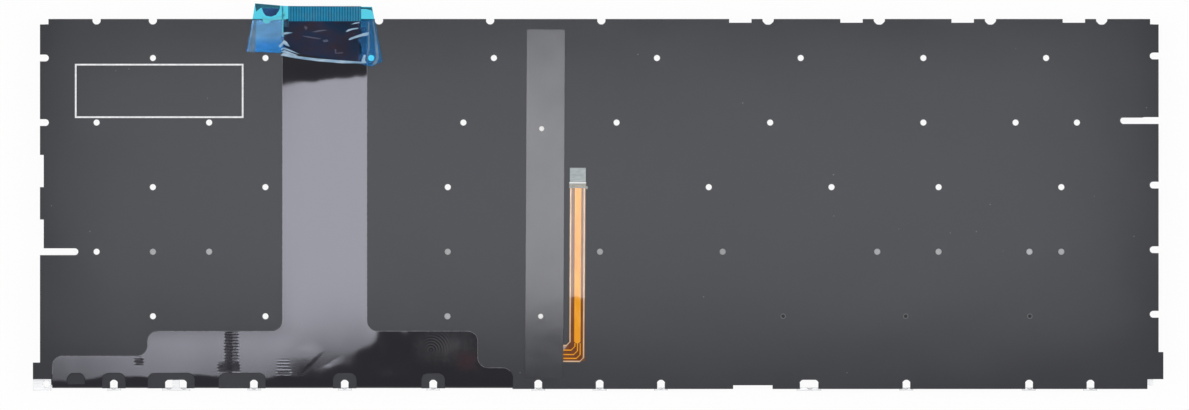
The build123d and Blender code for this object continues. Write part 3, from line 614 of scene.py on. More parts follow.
# %% Plate
plate_finish, tree, shader, place = new_finish("pressed_plate", (0.50, 0.505, 0.515), 0.5, 0.5, 1.0)
rolled = stretch(tree, place, (1.0, 14.0, 14.0))
roughen(tree, shader, use_effect(tree, blotches, rolled, Scale=220.0, Low=0.44, High=0.56))
brushed = stretch(tree, place, (1.0, 10.0, 10.0))
add_bump(tree, shader, use_effect(tree, grain, brushed, Scale=1200.0, Depth=2e-6))
base_plate = merged_copy("base_plate", "plate_sheet")
plate_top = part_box("base_plate")[1].z
start_edit(base_plate)
choose(base_plate, "EDGE", lambda edge: at_height(edge, plate_top) and is_sharp(edge, 60.0))
bpy.ops.mesh.bevel(offset=0.07 * MM, segments=2, affect="EDGES")
end_edit()
finish_piece(base_plate, [plate_finish], nodes=["base_plate"])
print("guide", len(light_guide.data.polygons), "and plate", len(base_plate.data.polygons), "faces")

# %% [markdown]
# A thin dark bow at the root of each lip is painted shade: the shadow at the edge of the
# folded lip, drawn as a dark patch. A bow is a flat patch: a point is extruded round its
# outline, and the outline is filled and thickened. The same helper serves for other thin
# patches further on.

# %% Painted shade at the roots of the lips
LIP_PIXELS = (113.5, 168.7, 183.5, 254.0, 344.5, 433.3, 538.5, 599.5, 660.8, 810.0, 906.0, 1029.8, 1091.6)
LIP_ROOT = 388.0
BOW = ((-2.9, -0.15), (-1.6, 0.55), (0.0, 0.8), (1.6, 0.55), (2.9, -0.15), (1.8, 1.15), (0.0, 1.5),
       (-1.8, 1.15))
PATCH_THICKNESS = 0.02 * MM


def draw_patch(pixels, z, thickness):
    """A flat patch from its outline in the photograph."""
    corners = [Vector((*on_board(*pixel), z)) for pixel in pixels]
    bpy.ops.object.select_all(action="DESELECT")
    bpy.ops.mesh.primitive_plane_add(size=MM, location=corners[0])
    patch = bpy.context.object
    bpy.ops.object.transform_apply(location=True, rotation=True, scale=True)
    start_edit(patch)
    bpy.ops.mesh.select_mode(type="VERT")
    bpy.ops.mesh.select_all(action="SELECT")
    bpy.ops.mesh.merge(type="CENTER")
    for here, there in zip(corners, corners[1:]):
        bpy.ops.mesh.extrude_vertices_move(TRANSFORM_OT_translate={"value": there - here})
    bpy.ops.mesh.select_all(action="SELECT")
    bpy.ops.mesh.edge_face_add()
    bpy.ops.mesh.extrude_region_move(TRANSFORM_OT_translate={"value": (0.0, 0.0, thickness)})
    end_edit()
    return patch


def draw_patches(name, outlines, z, finish):
    """Several patches as one piece."""
    piece = join_pieces([draw_patch(outline, z, PATCH_THICKNESS) for outline in outlines], name)
    print(name, len(piece.data.polygons), "faces")
    return finish_piece(piece, [finish])


# Painted shade: a dark finish for the bows at the roots of the lips.
lip_shade_finish, tree, shader, place = new_finish("painted_lip_shade", (0.05, 0.05, 0.055), 0.5, 0.3)
two_tone(tree, shader, place, 900.0, (0.03, 0.03, 0.032), (0.08, 0.08, 0.085))
bows = [[(lip + x, LIP_ROOT + y) for x, y in BOW] for lip in LIP_PIXELS]
draw_patches("lip_shade_bows", bows, plate_top, lip_shade_finish)

# %% [markdown]
# ## The membrane and its tail
# Three printed polyester sheets make the circuit. They lie over the keys, fold round the
# front edge of the board and come up on its back as a black flap, from which the tail
# runs up to the connector. Such a sheet never lies quite flat. The copy is cut by a grid of
# planes, and the loose part is then lifted by a few hundredths of a millimetre in a slow
# swell. Rolls, creases and folds that are finer than the grid are heights in its finish.

# %% Finish of the membrane
membrane_finish, tree, shader, place = new_finish("black_circuit_sheet", (0.004, 0.004, 0.005), 0.09, 0.3,
                                                  tint=(0.87, 0.87, 1.0))
axes = add_node(tree, "ShaderNodeSeparateXYZ", {0: place}).outputs
HAZE_MIDDLE, HAZE_HALF, HAZE_SOFT = (446.0, 346.0), (7.5 * MM, 3.0 * MM), 4.0 * MM
RED_MIDDLE, RED_HALF, RED_SOFT = (467.0, 361.0), (2.5 * MM, 2.0 * MM), 2.5 * MM
haze = spot_mask(tree, place, on_board(*HAZE_MIDDLE), HAZE_HALF, HAZE_SOFT, 1.5 * MM)
smeared = stretch(tree, place, (1.0, 0.4, 1.0))
haze = combine(tree, "MULTIPLY", haze, use_effect(tree, blotches, smeared, Scale=170.0, Low=0.2, High=1.0))
stained = spot_mask(tree, place, on_board(*RED_MIDDLE), RED_HALF, RED_SOFT, 1.5 * MM)
ARC_MIDDLE, ARC_PITCH, ARC_SHARE = (431.0, 350.0), 0.80 * MM, 0.8
ARCS_MIDDLE, ARCS_HALF, ARCS_SOFT = (438.0, 343.0), (2.8 * MM, 2.0 * MM), 1.6 * MM
arc_centre = (*on_board(*ARC_MIDDLE), BACK)
reach = add_node(tree, "ShaderNodeVectorMath", {0: place, 1: arc_centre}, operation="DISTANCE")
arcs = combine(tree, "SINE", combine(tree, "MULTIPLY", reach.outputs["Value"], 2 * math.pi / ARC_PITCH), 0.0)
printed = spot_mask(tree, place, on_board(*ARCS_MIDDLE), ARCS_HALF, ARCS_SOFT)
arcs = combine(tree, "MULTIPLY", arcs, printed)
haze = combine(tree, "ADD", haze, combine(tree, "MULTIPLY", arcs, ARC_SHARE))
ground = blend_colours(tree, haze, (0.003, 0.003, 0.004), (0.040, 0.037, 0.039))
paint(tree, shader, stained, ground, (0.026, 0.008, 0.010))
LEAN_TOP, LEAN_FROM, LEAN_TO = 336.0, 310.0, 255.0
handled = ramp(tree, axes[0], column_at(LEAN_FROM), column_at(LEAN_TO))
drawn_out = stretch(tree, place, (1.0, 0.35, 1.0))
patchy = use_effect(tree, blotches, drawn_out, Scale=60.0, Low=-0.012, High=0.012)
dulled = span(tree, handled, 0.07, 0.125)
roughen(tree, shader, combine(tree, "ADD", patchy, dulled))
ROLL_START, ROLL_END = (396.0, 331.0), (298.0, 384.0)
ROLL_SLOPE, DROP_SLOPE, LEAN_SLOPE, FOOT_SLOPE = -0.04, -0.045, -0.010, -0.07
here, there = Vector(on_board(*ROLL_START)), Vector(on_board(*ROLL_END))
along = (there - here).normalized()
across = Vector((-along.y, along.x))
past = along_way(tree, axes, across)
fingers = use_effect(tree, waves, stretch(tree, place, (1.0, 0.6, 1.0)), Scale=120.0, Depth=0.014)
past = combine(tree, "ADD", combine(tree, "SUBTRACT", past, here.dot(across) + 0.007), fingers)
height = combine(tree, "MULTIPLY", combine(tree, "SMOOTH_MAX", past, 0.0, 0.003), ROLL_SLOPE)
CREASE_MIDDLE, CREASE_SLOPE = (322.0, 77.0), 0.1
border = on_board(*CREASE_MIDDLE)
crease = combine(tree, "SUBTRACT", axes[1], border[1] - CREASE_SLOPE * border[0])
crease = combine(tree, "SUBTRACT", crease, combine(tree, "MULTIPLY", axes[0], CREASE_SLOPE))
brush = use_effect(tree, waves, stretch(tree, place, (2.2, 0.5, 1.0)), Scale=110.0, Depth=0.0018)
crease = combine(tree, "ADD", crease, combine(tree, "SUBTRACT", brush, 0.0009))
drop = combine(tree, "SMOOTH_MAX", crease, 0.0, 0.0026)
height = combine(tree, "ADD", height, combine(tree, "MULTIPLY", drop, DROP_SLOPE))
lean = combine(tree, "SMOOTH_MIN", combine(tree, "SUBTRACT", axes[1], row_at(LEAN_TOP)), 0.0, 0.003)
lean = combine(tree, "MULTIPLY", lean, handled)
height = combine(tree, "ADD", height, combine(tree, "MULTIPLY", lean, LEAN_SLOPE))
FOOT_LINE = 378.0
worn = use_effect(tree, waves, place, Scale=90.0, Depth=0.0036)
foot = combine(tree, "SUBTRACT", row_at(FOOT_LINE) - 0.0018, axes[1])
FOOT_LEFT, FOOT_RIGHT, FOOT_SINK = 60.0, 110.0, 1.6 * MM
sunk = ramp(tree, axes[0], column_at(FOOT_RIGHT), column_at(FOOT_LEFT))
foot = combine(tree, "SUBTRACT", foot, combine(tree, "MULTIPLY", sunk, FOOT_SINK))
foot = combine(tree, "SMOOTH_MAX", combine(tree, "ADD", foot, worn), 0.0, 0.001)
height = combine(tree, "ADD", height, combine(tree, "MULTIPLY", foot, FOOT_SLOPE))
RIB_PITCH = 0.9 * MM
ribs = combine(tree, "SINE", combine(tree, "MULTIPLY", axes[1], 2 * math.pi / RIB_PITCH), 0.0)
RIBBED = (((228.5, 350.0), (0.8, 6.2), 3.0e-5), ((234.0, 348.0), (1.2, 5.4), 1.1e-5),
          ((229.0, 367.5), (3.0, 1.2), 3.0e-5), ((139.0, 361.5), (1.1, 0.9), 2.4e-5),
          ((283.0, 363.5), (1.7, 1.1), 3e-6), ((284.0, 372.0), (2.0, 0.5), 1.8e-5))
for middle, half, depth in RIBBED:
    mask = spot_mask(tree, place, on_board(*middle), [side * MM for side in half], 0.7 * MM, 0.5 * MM)
    masked = combine(tree, "MULTIPLY", ribs, mask)
    height = combine(tree, "ADD", height, combine(tree, "MULTIPLY", masked, depth))
FOLDS = (((294.0, 377.0), (324.0, 347.0), 6.0 * MM, 1.2 * MM, 1.5e-5),
         ((316.0, 376.0), (350.0, 360.0), 1.9 * MM, 1.9 * MM, 1.5e-5))
for start, end, gentle, steep, depth in FOLDS:
    here, there = Vector(on_board(*start)), Vector(on_board(*end))
    along = (there - here).normalized()
    aside = Vector((-along.y, along.x))
    middle, half_run = (here + there) / 2, (there - here).length / 2
    run, off = [combine(tree, "SUBTRACT", along_way(tree, axes, way), middle.dot(way))
                for way in (along, aside)]
    run = combine(tree, "ABSOLUTE", run, 0.0)
    bend = use_effect(tree, waves, place, Scale=250.0, Depth=1.6 * MM)
    off = combine(tree, "SUBTRACT", combine(tree, "ADD", off, bend), 0.8 * MM)
    ridge = combine(tree, "MINIMUM", ramp(tree, off, gentle, 0.0), ramp(tree, off, -steep, 0.0))
    ridge = combine(tree, "MULTIPLY", ridge, ramp(tree, run, half_run, 0.0))
    height = combine(tree, "ADD", height, combine(tree, "MULTIPLY", ridge, depth))
ripple = use_effect(tree, waves, stretch(tree, place, (1.6, 0.5, 1.0)), Scale=60.0, Depth=2.0e-5)
TRACK_TURNS, TRACK_RISE = 7400.0, 1.0e-7
tracks = combine(tree, "SINE", combine(tree, "MULTIPLY", axes[0], TRACK_TURNS), 0.0)
tracks = combine(tree, "MULTIPLY", tracks, TRACK_RISE)
height = combine(tree, "ADD", height, combine(tree, "ADD", ripple, tracks))
add_bump(tree, shader, height)
edge_finish, tree, shader, place = new_finish("cut_sheet_edge", (0.26, 0.26, 0.28), 0.3, 0.4)
two_tone(tree, shader, place, 900.0, (0.16, 0.16, 0.17), (0.36, 0.36, 0.38))

# %% Membrane sheet
membrane = merged_copy("membrane", "circuit_sheet")
LOOSE_Z = BACK - 0.02 * MM
flap_low, flap_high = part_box("membrane")
GRID_STEP = 4.0 * MM
FLAP_END = column_at(512.0)


def cut_loose_part(piece, direction, first, last, step, floor_z):
    """Cuts the faces above a height by planes across one axis, a step apart."""
    place = first + step
    while place < last - step / 2:
        choose(piece, "FACE", lambda face: all(corner.co.z > floor_z for corner in face.verts))
        point = [0.0, 0.0, 0.0]
        point[direction] = place
        normal = [0.0, 0.0, 0.0]
        normal[direction] = 1.0
        bpy.ops.mesh.bisect(plane_co=point, plane_no=normal)
        place += step


start_edit(membrane)
SHEET_TOP = flap_high.z
WINDOW_ROUND = 0.75 * MM
window_corners = choose(membrane, "EDGE", octagon_corner)
bpy.ops.mesh.bevel(offset=WINDOW_ROUND, segments=3, affect="EDGES")
print(window_corners, "corners of windows rounded")
choose(membrane, "EDGE", lambda edge: at_height(edge, SHEET_TOP) and is_sharp(edge, 60.0))
bpy.ops.mesh.bevel(offset=0.1 * MM, segments=1, affect="EDGES")
cut_loose_part(membrane, 0, flap_low.x, FLAP_END, GRID_STEP, LOOSE_Z)
cut_loose_part(membrane, 1, flap_low.y, flap_high.y, GRID_STEP, LOOSE_Z)
end_edit()
FOLD_LINE, WINDOW_LINE = 385.0, 371.0
LIFT, LIFT_RUN, SWELL_X, SWELL_Y = 0.07 * MM, 6 * MM, 28.0, 34.0
WRAP_FOOT, WRAP_RUN = 38 * MM, 10 * MM
fold_y, above_windows = row_at(FOLD_LINE), row_at(WINDOW_LINE)
lifted = 0
for corner in membrane.data.vertices:
    spot = corner.co
    if spot.z < LOOSE_Z:
        continue
    free = min(1.0, max(0.0, (spot.y - fold_y) / LIFT_RUN))
    swell = 0.5 + 0.5 * noise.noise(Vector((spot.x * SWELL_X, spot.y * SWELL_Y, 0.7)))
    under_wrap = min(1.0, max(0.0, (WRAP_FOOT - spot.y) / WRAP_RUN))
    spot.z += LIFT * swell * free * under_wrap
    lifted += 1
finish_piece(membrane, [membrane_finish, edge_finish], nodes=["membrane"])
for face in membrane.data.polygons:
    bevelled = 0.5 < face.normal.z < 0.9 and face.center.z > SHEET_TOP - 0.11 * MM
    face.material_index = 1 if bevelled and face.center.y > above_windows else 0
print("membrane", len(membrane.data.polygons), "faces,", lifted, "points lifted")

# %% [markdown]
# ## The tail's end
# The tip of the tail is stiffened from below by a small plate and carries a row of printed
# contacts. One contact is a thin bar; an array of it, applied, makes the row.

# %% Contacts and stiffener
contact_finish, tree, shader, place = new_finish("printed_contact", (0.24, 0.25, 0.26), 0.4, 0.3, 0.0)
two_tone(tree, shader, place, 700.0, (0.44, 0.44, 0.48), (0.56, 0.55, 0.60))
tail_low, tail_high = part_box("tail_stiffener")
CONTACT_COUNT, CONTACT_SHARE = 27, 0.62
CONTACT_LENGTH, CONTACT_THICKNESS = 4.2 * MM, 0.016 * MM
GROUND_LENGTH, GROUND_THICKNESS = 4.4 * MM, 0.006 * MM
contact_pitch = (tail_high.x - tail_low.x) / CONTACT_COUNT
contact_y = flap_high.y - 2.3 * MM


def add_slab(name, middle, size):
    """A box of this size, opened for modelling."""
    bpy.ops.object.select_all(action="DESELECT")
    bpy.ops.mesh.primitive_cube_add(size=1.0, location=middle)
    slab = bpy.context.object
    slab.name = name
    slab.scale = size
    bpy.ops.object.transform_apply(location=True, rotation=True, scale=True)
    start_edit(slab)
    return slab


contacts = add_slab("tail_contacts",
                    (tail_low.x + contact_pitch / 2, contact_y, flap_high.z + CONTACT_THICKNESS / 2),
                    (contact_pitch * CONTACT_SHARE, CONTACT_LENGTH, CONTACT_THICKNESS))
choose(contacts, "EDGE", lambda edge: abs(edge.verts[0].co.z - edge.verts[1].co.z) > 0.01 * MM)
bpy.ops.mesh.bevel(offset=0.12 * MM, segments=2, affect="EDGES")
end_edit()
row = contacts.modifiers.new("row", "ARRAY")
row.count = CONTACT_COUNT
row.use_relative_offset = False
row.use_constant_offset = True
row.constant_offset_displace = (contact_pitch, 0.0, 0.0)
bpy.ops.object.modifier_apply(modifier=row.name)
finish_piece(contacts, [contact_finish])
pad_finish, tree, shader, place = new_finish("contact_ground", (0.16, 0.17, 0.18), 0.4, 0.3)
two_tone(tree, shader, place, 500.0, (0.18, 0.18, 0.20), (0.26, 0.26, 0.29))
contact_ground = add_slab("contact_ground",
                          ((tail_low.x + tail_high.x) / 2, contact_y, flap_high.z + GROUND_THICKNESS / 2),
                          (tail_high.x - tail_low.x, GROUND_LENGTH, GROUND_THICKNESS))
choose(contact_ground, "EDGE", lambda edge: edge.verts[0].co.xy == edge.verts[1].co.xy)
bpy.ops.mesh.bevel(offset=0.3 * MM, segments=3, affect="EDGES")
end_edit()
finish_piece(contact_ground, [pad_finish])

stiffener_finish, tree, shader, place = new_finish("stiffener_board", (0.30, 0.34, 0.35), 0.3, 0.35)
two_tone(tree, shader, stretch(tree, place, (1.0, 3.0, 1.0)), 500.0, (0.25, 0.29, 0.30), (0.36, 0.40, 0.41))


def bevelled_copy(node, name, finish, offset, body="module"):
    """A CAD piece with all of its sharp edges broken by a bevel of two segments."""
    piece = merged_copy(node, name)
    start_edit(piece)
    choose(piece, "EDGE", is_sharp)
    bpy.ops.mesh.bevel(offset=offset, segments=2, affect="EDGES")
    end_edit()
    return finish_piece(piece, [finish], body, [node])


bevelled_copy("tail_stiffener", "tail_end_board", stiffener_finish, 0.03 * MM)
flex_board = bevelled_copy("flex_stiffener", "flex_end_board", stiffener_finish, 0.03 * MM)
print("contacts", CONTACT_COUNT)

# %% [markdown]
# ## The strip of lights under its tape
# A flexible strip with small lights runs up the middle of the board under a grey tape, and
# a narrow tail of it comes out beside the tape. The strip is an amber film with copper
# tracks that show through it. The tracks are thin ribbons, each drawn as an edge that is
# extruded point by point, widened and thickened.

# %% Strip and tracks
BEND_LINE, BEND_WAVE = 303.0, 0.006


def bend_strip(tree, shader, place):
    """The strip bows down towards its foot, so that its lower part loses the softbox."""
    y = add_node(tree, "ShaderNodeSeparateXYZ", {0: place}).outputs[1]
    ragged = use_effect(tree, waves, stretch(tree, place, (2.0, 0.4, 1.0)), Scale=260.0, Depth=BEND_WAVE)
    below = combine(tree, "SUBTRACT", row_at(BEND_LINE) - BEND_WAVE / 2, y)
    below = combine(tree, "SMOOTH_MAX", combine(tree, "ADD", below, ragged), 0.0, 0.002)
    slow = use_effect(tree, waves, stretch(tree, place, (0.6, 1.0, 1.0)), Scale=60.0, Depth=2e-5)
    add_bump(tree, shader, combine(tree, "ADD", slow, combine(tree, "MULTIPLY", below, -0.05)))


flex_finish, tree, shader, place = new_finish("amber_film", (0.16, 0.04, 0.003), 0.13, 0.25)
two_tone(tree, shader, stretch(tree, place, (3.0, 1.0, 1.0)), 150.0, (0.13, 0.03, 0.002),
         (0.20, 0.055, 0.005))
bend_strip(tree, shader, place)
track_finish, tree, shader, place = new_finish("copper_track", (0.86, 0.33, 0.003), 0.13, 0.25)
two_tone(tree, shader, stretch(tree, place, (3.0, 1.0, 1.0)), 120.0, (0.78, 0.28, 0.001), (0.92, 0.38, 0.006))
bend_strip(tree, shader, place)
pale_finish, tree, shader, place = new_finish("pale_track", (0.55, 0.33, 0.16), 0.13, 0.25)
two_tone(tree, shader, stretch(tree, place, (3.0, 1.0, 1.0)), 160.0, (0.58, 0.38, 0.22), (0.76, 0.52, 0.32))
bend_strip(tree, shader, place)
white_finish, tree, shader, place = new_finish("white_strip_face", (0.85, 0.85, 0.84), 0.4, 0.3)
two_tone(tree, shader, place, 600.0, (0.80, 0.80, 0.79), (0.90, 0.90, 0.89))
flex_strip = bevelled_copy("backlight_flex", "light_strip", flex_finish, 0.02 * MM)

flex_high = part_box("backlight_flex")[1]
board_low, board_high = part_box("flex_stiffener")
EDGE_OFFSETS, EDGE_FEET, EDGE_WIDTH = (0.3, 4.3), (345.4, 361.2), 0.4
TRACK_OFFSETS, TRACK_FEET, TRACK_WIDTH = (1.75, 2.5, 3.3), (350.0, 354.4, 358.2), 0.32
BAND_LEFT, BAND_RIGHT, BAND_FOOT = 1.5, 3.4, 343.0
TRACK_THICKNESS = 0.008 * MM
CORNER_CUT = 1.1 * MM
tape_low, tape_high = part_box("strip_tape")


def draw_track(x, width, top, foot_y):
    """A copper ribbon: down the strip, round a slanted corner and left to the tape's edge."""
    bpy.ops.object.select_all(action="DESELECT")
    bottom = foot_y + CORNER_CUT
    bpy.ops.mesh.primitive_plane_add(size=1.0, location=(x, (top + bottom) / 2, flex_high.z))
    ribbon = bpy.context.object
    ribbon.scale = (width, top - bottom, 1.0)
    bpy.ops.object.transform_apply(location=True, rotation=True, scale=True)
    start_edit(ribbon)
    choose(ribbon, "EDGE", lambda edge: all(abs(end.co.y - bottom) < 0.01 * MM for end in edge.verts))
    bpy.ops.mesh.extrude_edges_move(TRANSFORM_OT_translate={"value": (-CORNER_CUT, -CORNER_CUT, 0.0)})
    bpy.ops.transform.rotate(value=math.pi / 2, orient_axis="Z",
                             center_override=(x - CORNER_CUT, foot_y, flex_high.z))
    to_tape = (tape_high.x - x + CORNER_CUT, 0.0, 0.0)
    bpy.ops.mesh.extrude_edges_move(TRANSFORM_OT_translate={"value": to_tape})
    bpy.ops.mesh.select_all(action="SELECT")
    bpy.ops.mesh.extrude_region_move(TRANSFORM_OT_translate={"value": (0.0, 0.0, TRACK_THICKNESS)})
    end_edit()
    return ribbon


band_top, band_foot = board_low.y, row_at(BAND_FOOT)
edge_lines = [draw_track(board_low.x + offset * MM, EDGE_WIDTH * MM, band_top, row_at(foot))
              for offset, foot in zip(EDGE_OFFSETS, EDGE_FEET)]
edge_lines = finish_piece(join_pieces(edge_lines, "edge_tracks"), [pale_finish])
ribbons = [draw_track(board_low.x + offset * MM, TRACK_WIDTH * MM, band_foot, row_at(foot))
           for offset, foot in zip(TRACK_OFFSETS, TRACK_FEET)]
band = add_slab("track_band",
                (board_low.x + (BAND_LEFT + BAND_RIGHT) / 2 * MM, (band_top + band_foot) / 2,
                 flex_high.z + TRACK_THICKNESS / 2),
                ((BAND_RIGHT - BAND_LEFT) * MM, band_top - band_foot, TRACK_THICKNESS))
choose(band, "EDGE",
       lambda edge: edge.verts[0].co.xy == edge.verts[1].co.xy and edge.verts[0].co.y < band_foot + MM)
bpy.ops.mesh.bevel(offset=0.5 * MM, segments=1, affect="EDGES")
end_edit()
tracks = finish_piece(join_pieces([band, *ribbons], "copper_tracks"), [track_finish])
solder_finish, tree, shader, place = new_finish("tinned_edge", (0.30, 0.30, 0.27), 0.3, 0.3)
two_tone(tree, shader, place, 900.0, (0.25, 0.25, 0.22), (0.35, 0.35, 0.32))
END_LINE = ((570.6, 182.1), (587.4, 182.1), (587.4, 183.2), (570.6, 183.2))
END_BAND = ((570.6, 183.5), (587.4, 183.5), (587.4, 185.5), (570.6, 185.5))
END_FOOT = ((570.6, 185.8), (588.6, 185.8), (589.4, 187.4), (588.4, 189.2), (586.6, 187.9), (570.6, 187.9))
end_line = draw_patches("end_line", (END_LINE,), board_high.z, white_finish)
end_band = draw_patches("end_band", (END_BAND,), board_high.z, solder_finish)
end_foot = draw_patches("end_foot", (END_FOOT,), flex_high.z + TRACK_THICKNESS, solder_finish)
start_edit(flex_strip)
bpy.ops.mesh.select_all(action="SELECT")
bpy.ops.mesh.bisect(plane_co=(tape_high.x - MM, 0.0, 0.0), plane_no=(1.0, 0.0, 0.0))
end_edit()
flex_strip.data.materials.append(white_finish)
for face in flex_strip.data.polygons:
    face.material_index = 1 if face.center.x < tape_high.x - MM else 0
print("tracks", len(ribbons), "ribbons,", len(tracks.data.polygons), "faces")

# %% [markdown]
# ## The tape
# The tape is a soft grey strip, stuck down over the lights. Its two small holes are made
# round by a bevel. Slow waves, dents and the bow of its lower end are heights in its finish.

# %% Tape
TAPE_BEND, TAPE_BOW = 270.0, -0.19
tape_finish, tree, shader, place = new_finish("grey_tape", (0.024, 0.025, 0.030), 0.11, 0.215,
                                              tint=(0.95, 0.96, 1.0))
smudge = use_effect(tree, blotches, place, Scale=90.0, Low=0.095, High=0.13)
roughen(tree, shader, smudge)
two_tone(tree, shader, stretch(tree, place, (1.0, 0.5, 1.0)), 70.0, (0.020, 0.021, 0.025),
         (0.028, 0.029, 0.034))
y = add_node(tree, "ShaderNodeSeparateXYZ", {0: place}).outputs[1]
below = combine(tree, "SMOOTH_MAX", combine(tree, "SUBTRACT", row_at(TAPE_BEND), y), 0.0, 0.02)
bowed = combine(tree, "MULTIPLY", combine(tree, "MULTIPLY", below, below), TAPE_BOW)
sag = use_effect(tree, waves, place, Scale=70.0, Depth=2.5e-5)
DENT_DEPTH, DENTS_FROM, DENTS_FULL = 9e-6, 290.0, 345.0
dents = use_effect(tree, waves, stretch(tree, place, (1.0, 0.7, 1.0)), Scale=420.0, Depth=DENT_DEPTH)
dents = combine(tree, "MULTIPLY", combine(tree, "SUBTRACT", dents, DENT_DEPTH / 2),
                ramp(tree, y, row_at(DENTS_FROM), row_at(DENTS_FULL)))
tooth = use_effect(tree, grain, place, Scale=4000.0, Depth=4e-7)
relief = combine(tree, "ADD", combine(tree, "ADD", sag, tooth), combine(tree, "ADD", bowed, dents))
add_bump(tree, shader, relief)
tape = merged_copy("strip_tape", "strip_cover")
start_edit(tape)
choose(tape, "EDGE", octagon_corner)
bpy.ops.mesh.bevel(offset=0.28 * MM, segments=3, affect="EDGES")
end_edit()
finish_piece(tape, [tape_finish], nodes=["strip_tape"])
print("tape", len(tape.data.polygons), "faces")

# %% [markdown]
# ## The wrap over the connector
# A clear blue foil protects the connector. It is the one piece that light goes through: it
# tints what lies under it. Where it is creased it shines partly from real relief and partly
# from painted highlights. The copy is cut by a grid, its points are raised in creases, and the
# material mixes a tinted clear shader with a glossy one.

# %% Wrap
wrap_finish, tree, shader, place = new_finish("blue_foil", (0.2, 0.4, 1.0), 0.12, 0.5, 1.0)
axes = add_node(tree, "ShaderNodeSeparateXYZ", {0: place}).outputs
FOIL_TAIL_LEFT, FOIL_TAIL_RIGHT, FOIL_MIDDLE, FOIL_EDGE = 284.5, 359.5, 38.0, 20.0
FOIL_PALE_FROM, FOIL_PALE_FULL = 46.0, 34.0
FOIL_WOBBLE, FOIL_SOFT = 1.6 * MM, 0.5 * MM
left, right = column_at(FOIL_TAIL_LEFT), column_at(FOIL_TAIL_RIGHT)
wobble = use_effect(tree, waves, place, Scale=400.0, Depth=FOIL_WOBBLE)
x = combine(tree, "SUBTRACT", combine(tree, "ADD", axes[0], wobble), FOIL_WOBBLE / 2)
over_tail = combine(tree, "MULTIPLY", ramp(tree, x, left - FOIL_SOFT, left + FOIL_SOFT),
                    ramp(tree, x, right + FOIL_SOFT, right - FOIL_SOFT))
blue = blend_colours(tree, ramp(tree, axes[1], row_at(FOIL_PALE_FROM), row_at(FOIL_PALE_FULL)),
                     (0.08, 0.26, 0.66), (0.30, 0.44, 0.72))
blue = blend_colours(tree, ramp(tree, axes[0], right - FOIL_SOFT, right + FOIL_SOFT), blue,
                     (0.045, 0.12, 0.28))
free_top = ramp(tree, axes[1], row_at(FOIL_EDGE), row_at(FOIL_EDGE - 2.0))
calm = combine(tree, "MAXIMUM", over_tail, free_top)
# Over the tail the foil's colour wanders between reddish and bluish tones: partly the foil's own tint, and
# partly painted sheen standing in for the glints of its fine creases.
sheen_mottle = use_effect(tree, blotches, stretch(tree, place, (0.7, 1.0, 1.0)), Scale=330.0, Low=0.0, High=1.0)
tint_and_painted_sheen = blend_colours(tree, sheen_mottle, (0.80, 0.26, 0.30), (0.22, 0.28, 0.62))
paint(tree, shader, calm, blue, tint_and_painted_sheen)
tint = add_node(tree, "ShaderNodeBsdfTransparent", {"Color": (0.30, 0.812, 0.911, 1.0)})
veil = use_effect(tree, blotches, stretch(tree, place, (0.5, 1.0, 1.0)), Scale=140.0, Low=0.024, High=0.042)
through = add_node(tree, "ShaderNodeMixShader", {0: veil, 1: tint.outputs[0], 2: shader.outputs[0]})
tree.links.new(through.outputs[0], tree.nodes["Material Output"].inputs["Surface"])
lift = combine(tree, "SUBTRACT", axes[1], row_at(FOIL_MIDDLE))
tilt = span(tree, calm, 0.008, -0.05)
crumple = use_effect(tree, waves, stretch(tree, place, (0.5, 1.5, 1.0)), Scale=180.0, Depth=2e-5)
add_bump(tree, shader, combine(tree, "ADD", combine(tree, "MULTIPLY", lift, tilt), crumple))
wrap = merged_copy("connector_wrap", "connector_foil")
wrap_low, wrap_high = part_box("connector_wrap")
start_edit(wrap)
cut_loose_part(wrap, 0, wrap_low.x, wrap_high.x, 1.5 * MM, wrap_low.z - MM)
cut_loose_part(wrap, 1, wrap_low.y, wrap_high.y, 1.0 * MM, wrap_low.z - MM)
end_edit()
foil_middle = (wrap_low.z + wrap_high.z) / 2
FOIL_HALF, FOIL_LIFT, FOIL_CREASE = 0.012 * MM, 0.035 * MM, 0.03 * MM
for corner in wrap.data.vertices:
    spot = corner.co
    fold = 0.5 + 0.5 * noise.noise(Vector((spot.x * 90.0, spot.y * 260.0, 1.3)))
    side = 1 if spot.z > foil_middle else -1
    spot.z = wrap_low.z + FOIL_LIFT + FOIL_CREASE * fold + side * FOIL_HALF
finish_piece(wrap, [wrap_finish], nodes=["connector_wrap"], smooth=60.0)
print("wrap", len(wrap.data.polygons), "faces")

# %% [markdown]
# The foil's two sides are folded back, and an ear of it hangs down behind the top edge and
# lies double. The pale streaks along its creases are painted highlights, where creased foil
# would catch the light. Each such fold or streak is a small flat patch on the foil.

# %% Folds of the wrap, and painted highlights of its creases
FOLD_Z = wrap_low.z + 0.085 * MM
EAR = ((262.0, 8.0), (268.0, 8.0), (280.0, 8.4), (278.6, 11.4), (276.0, 15.0), (271.0, 16.8), (266.0, 15.8),
       (263.4, 12.5))
EAR_HEM = ((254.9, 3.5), (266.0, 4.3), (280.0, 5.6), (280.0, 8.3), (268.0, 7.9), (261.0, 7.9), (256.2, 11.6))
RIGHT_HEM = ((360.5, 7.2), (371.6, 7.4), (372.6, 12.0), (371.2, 10.2), (366.0, 9.2), (360.5, 9.0))
LEFT_SIDE = ((254.4, 20.0), (256.2, 20.0), (255.8, 36.0), (255.2, 52.7), (247.8, 51.6), (250.6, 37.0))
RIGHT_SIDE = ((372.4, 21.0), (373.8, 21.0), (376.4, 36.0), (379.2, 58.0), (376.2, 64.4), (372.0, 64.8),
              (376.2, 58.0),
              (374.6, 38.0))
RIGHT_STRIPE = ((367.8, 22.0), (369.4, 22.0), (369.6, 48.0), (367.8, 60.0), (366.6, 60.0), (368.2, 46.0))
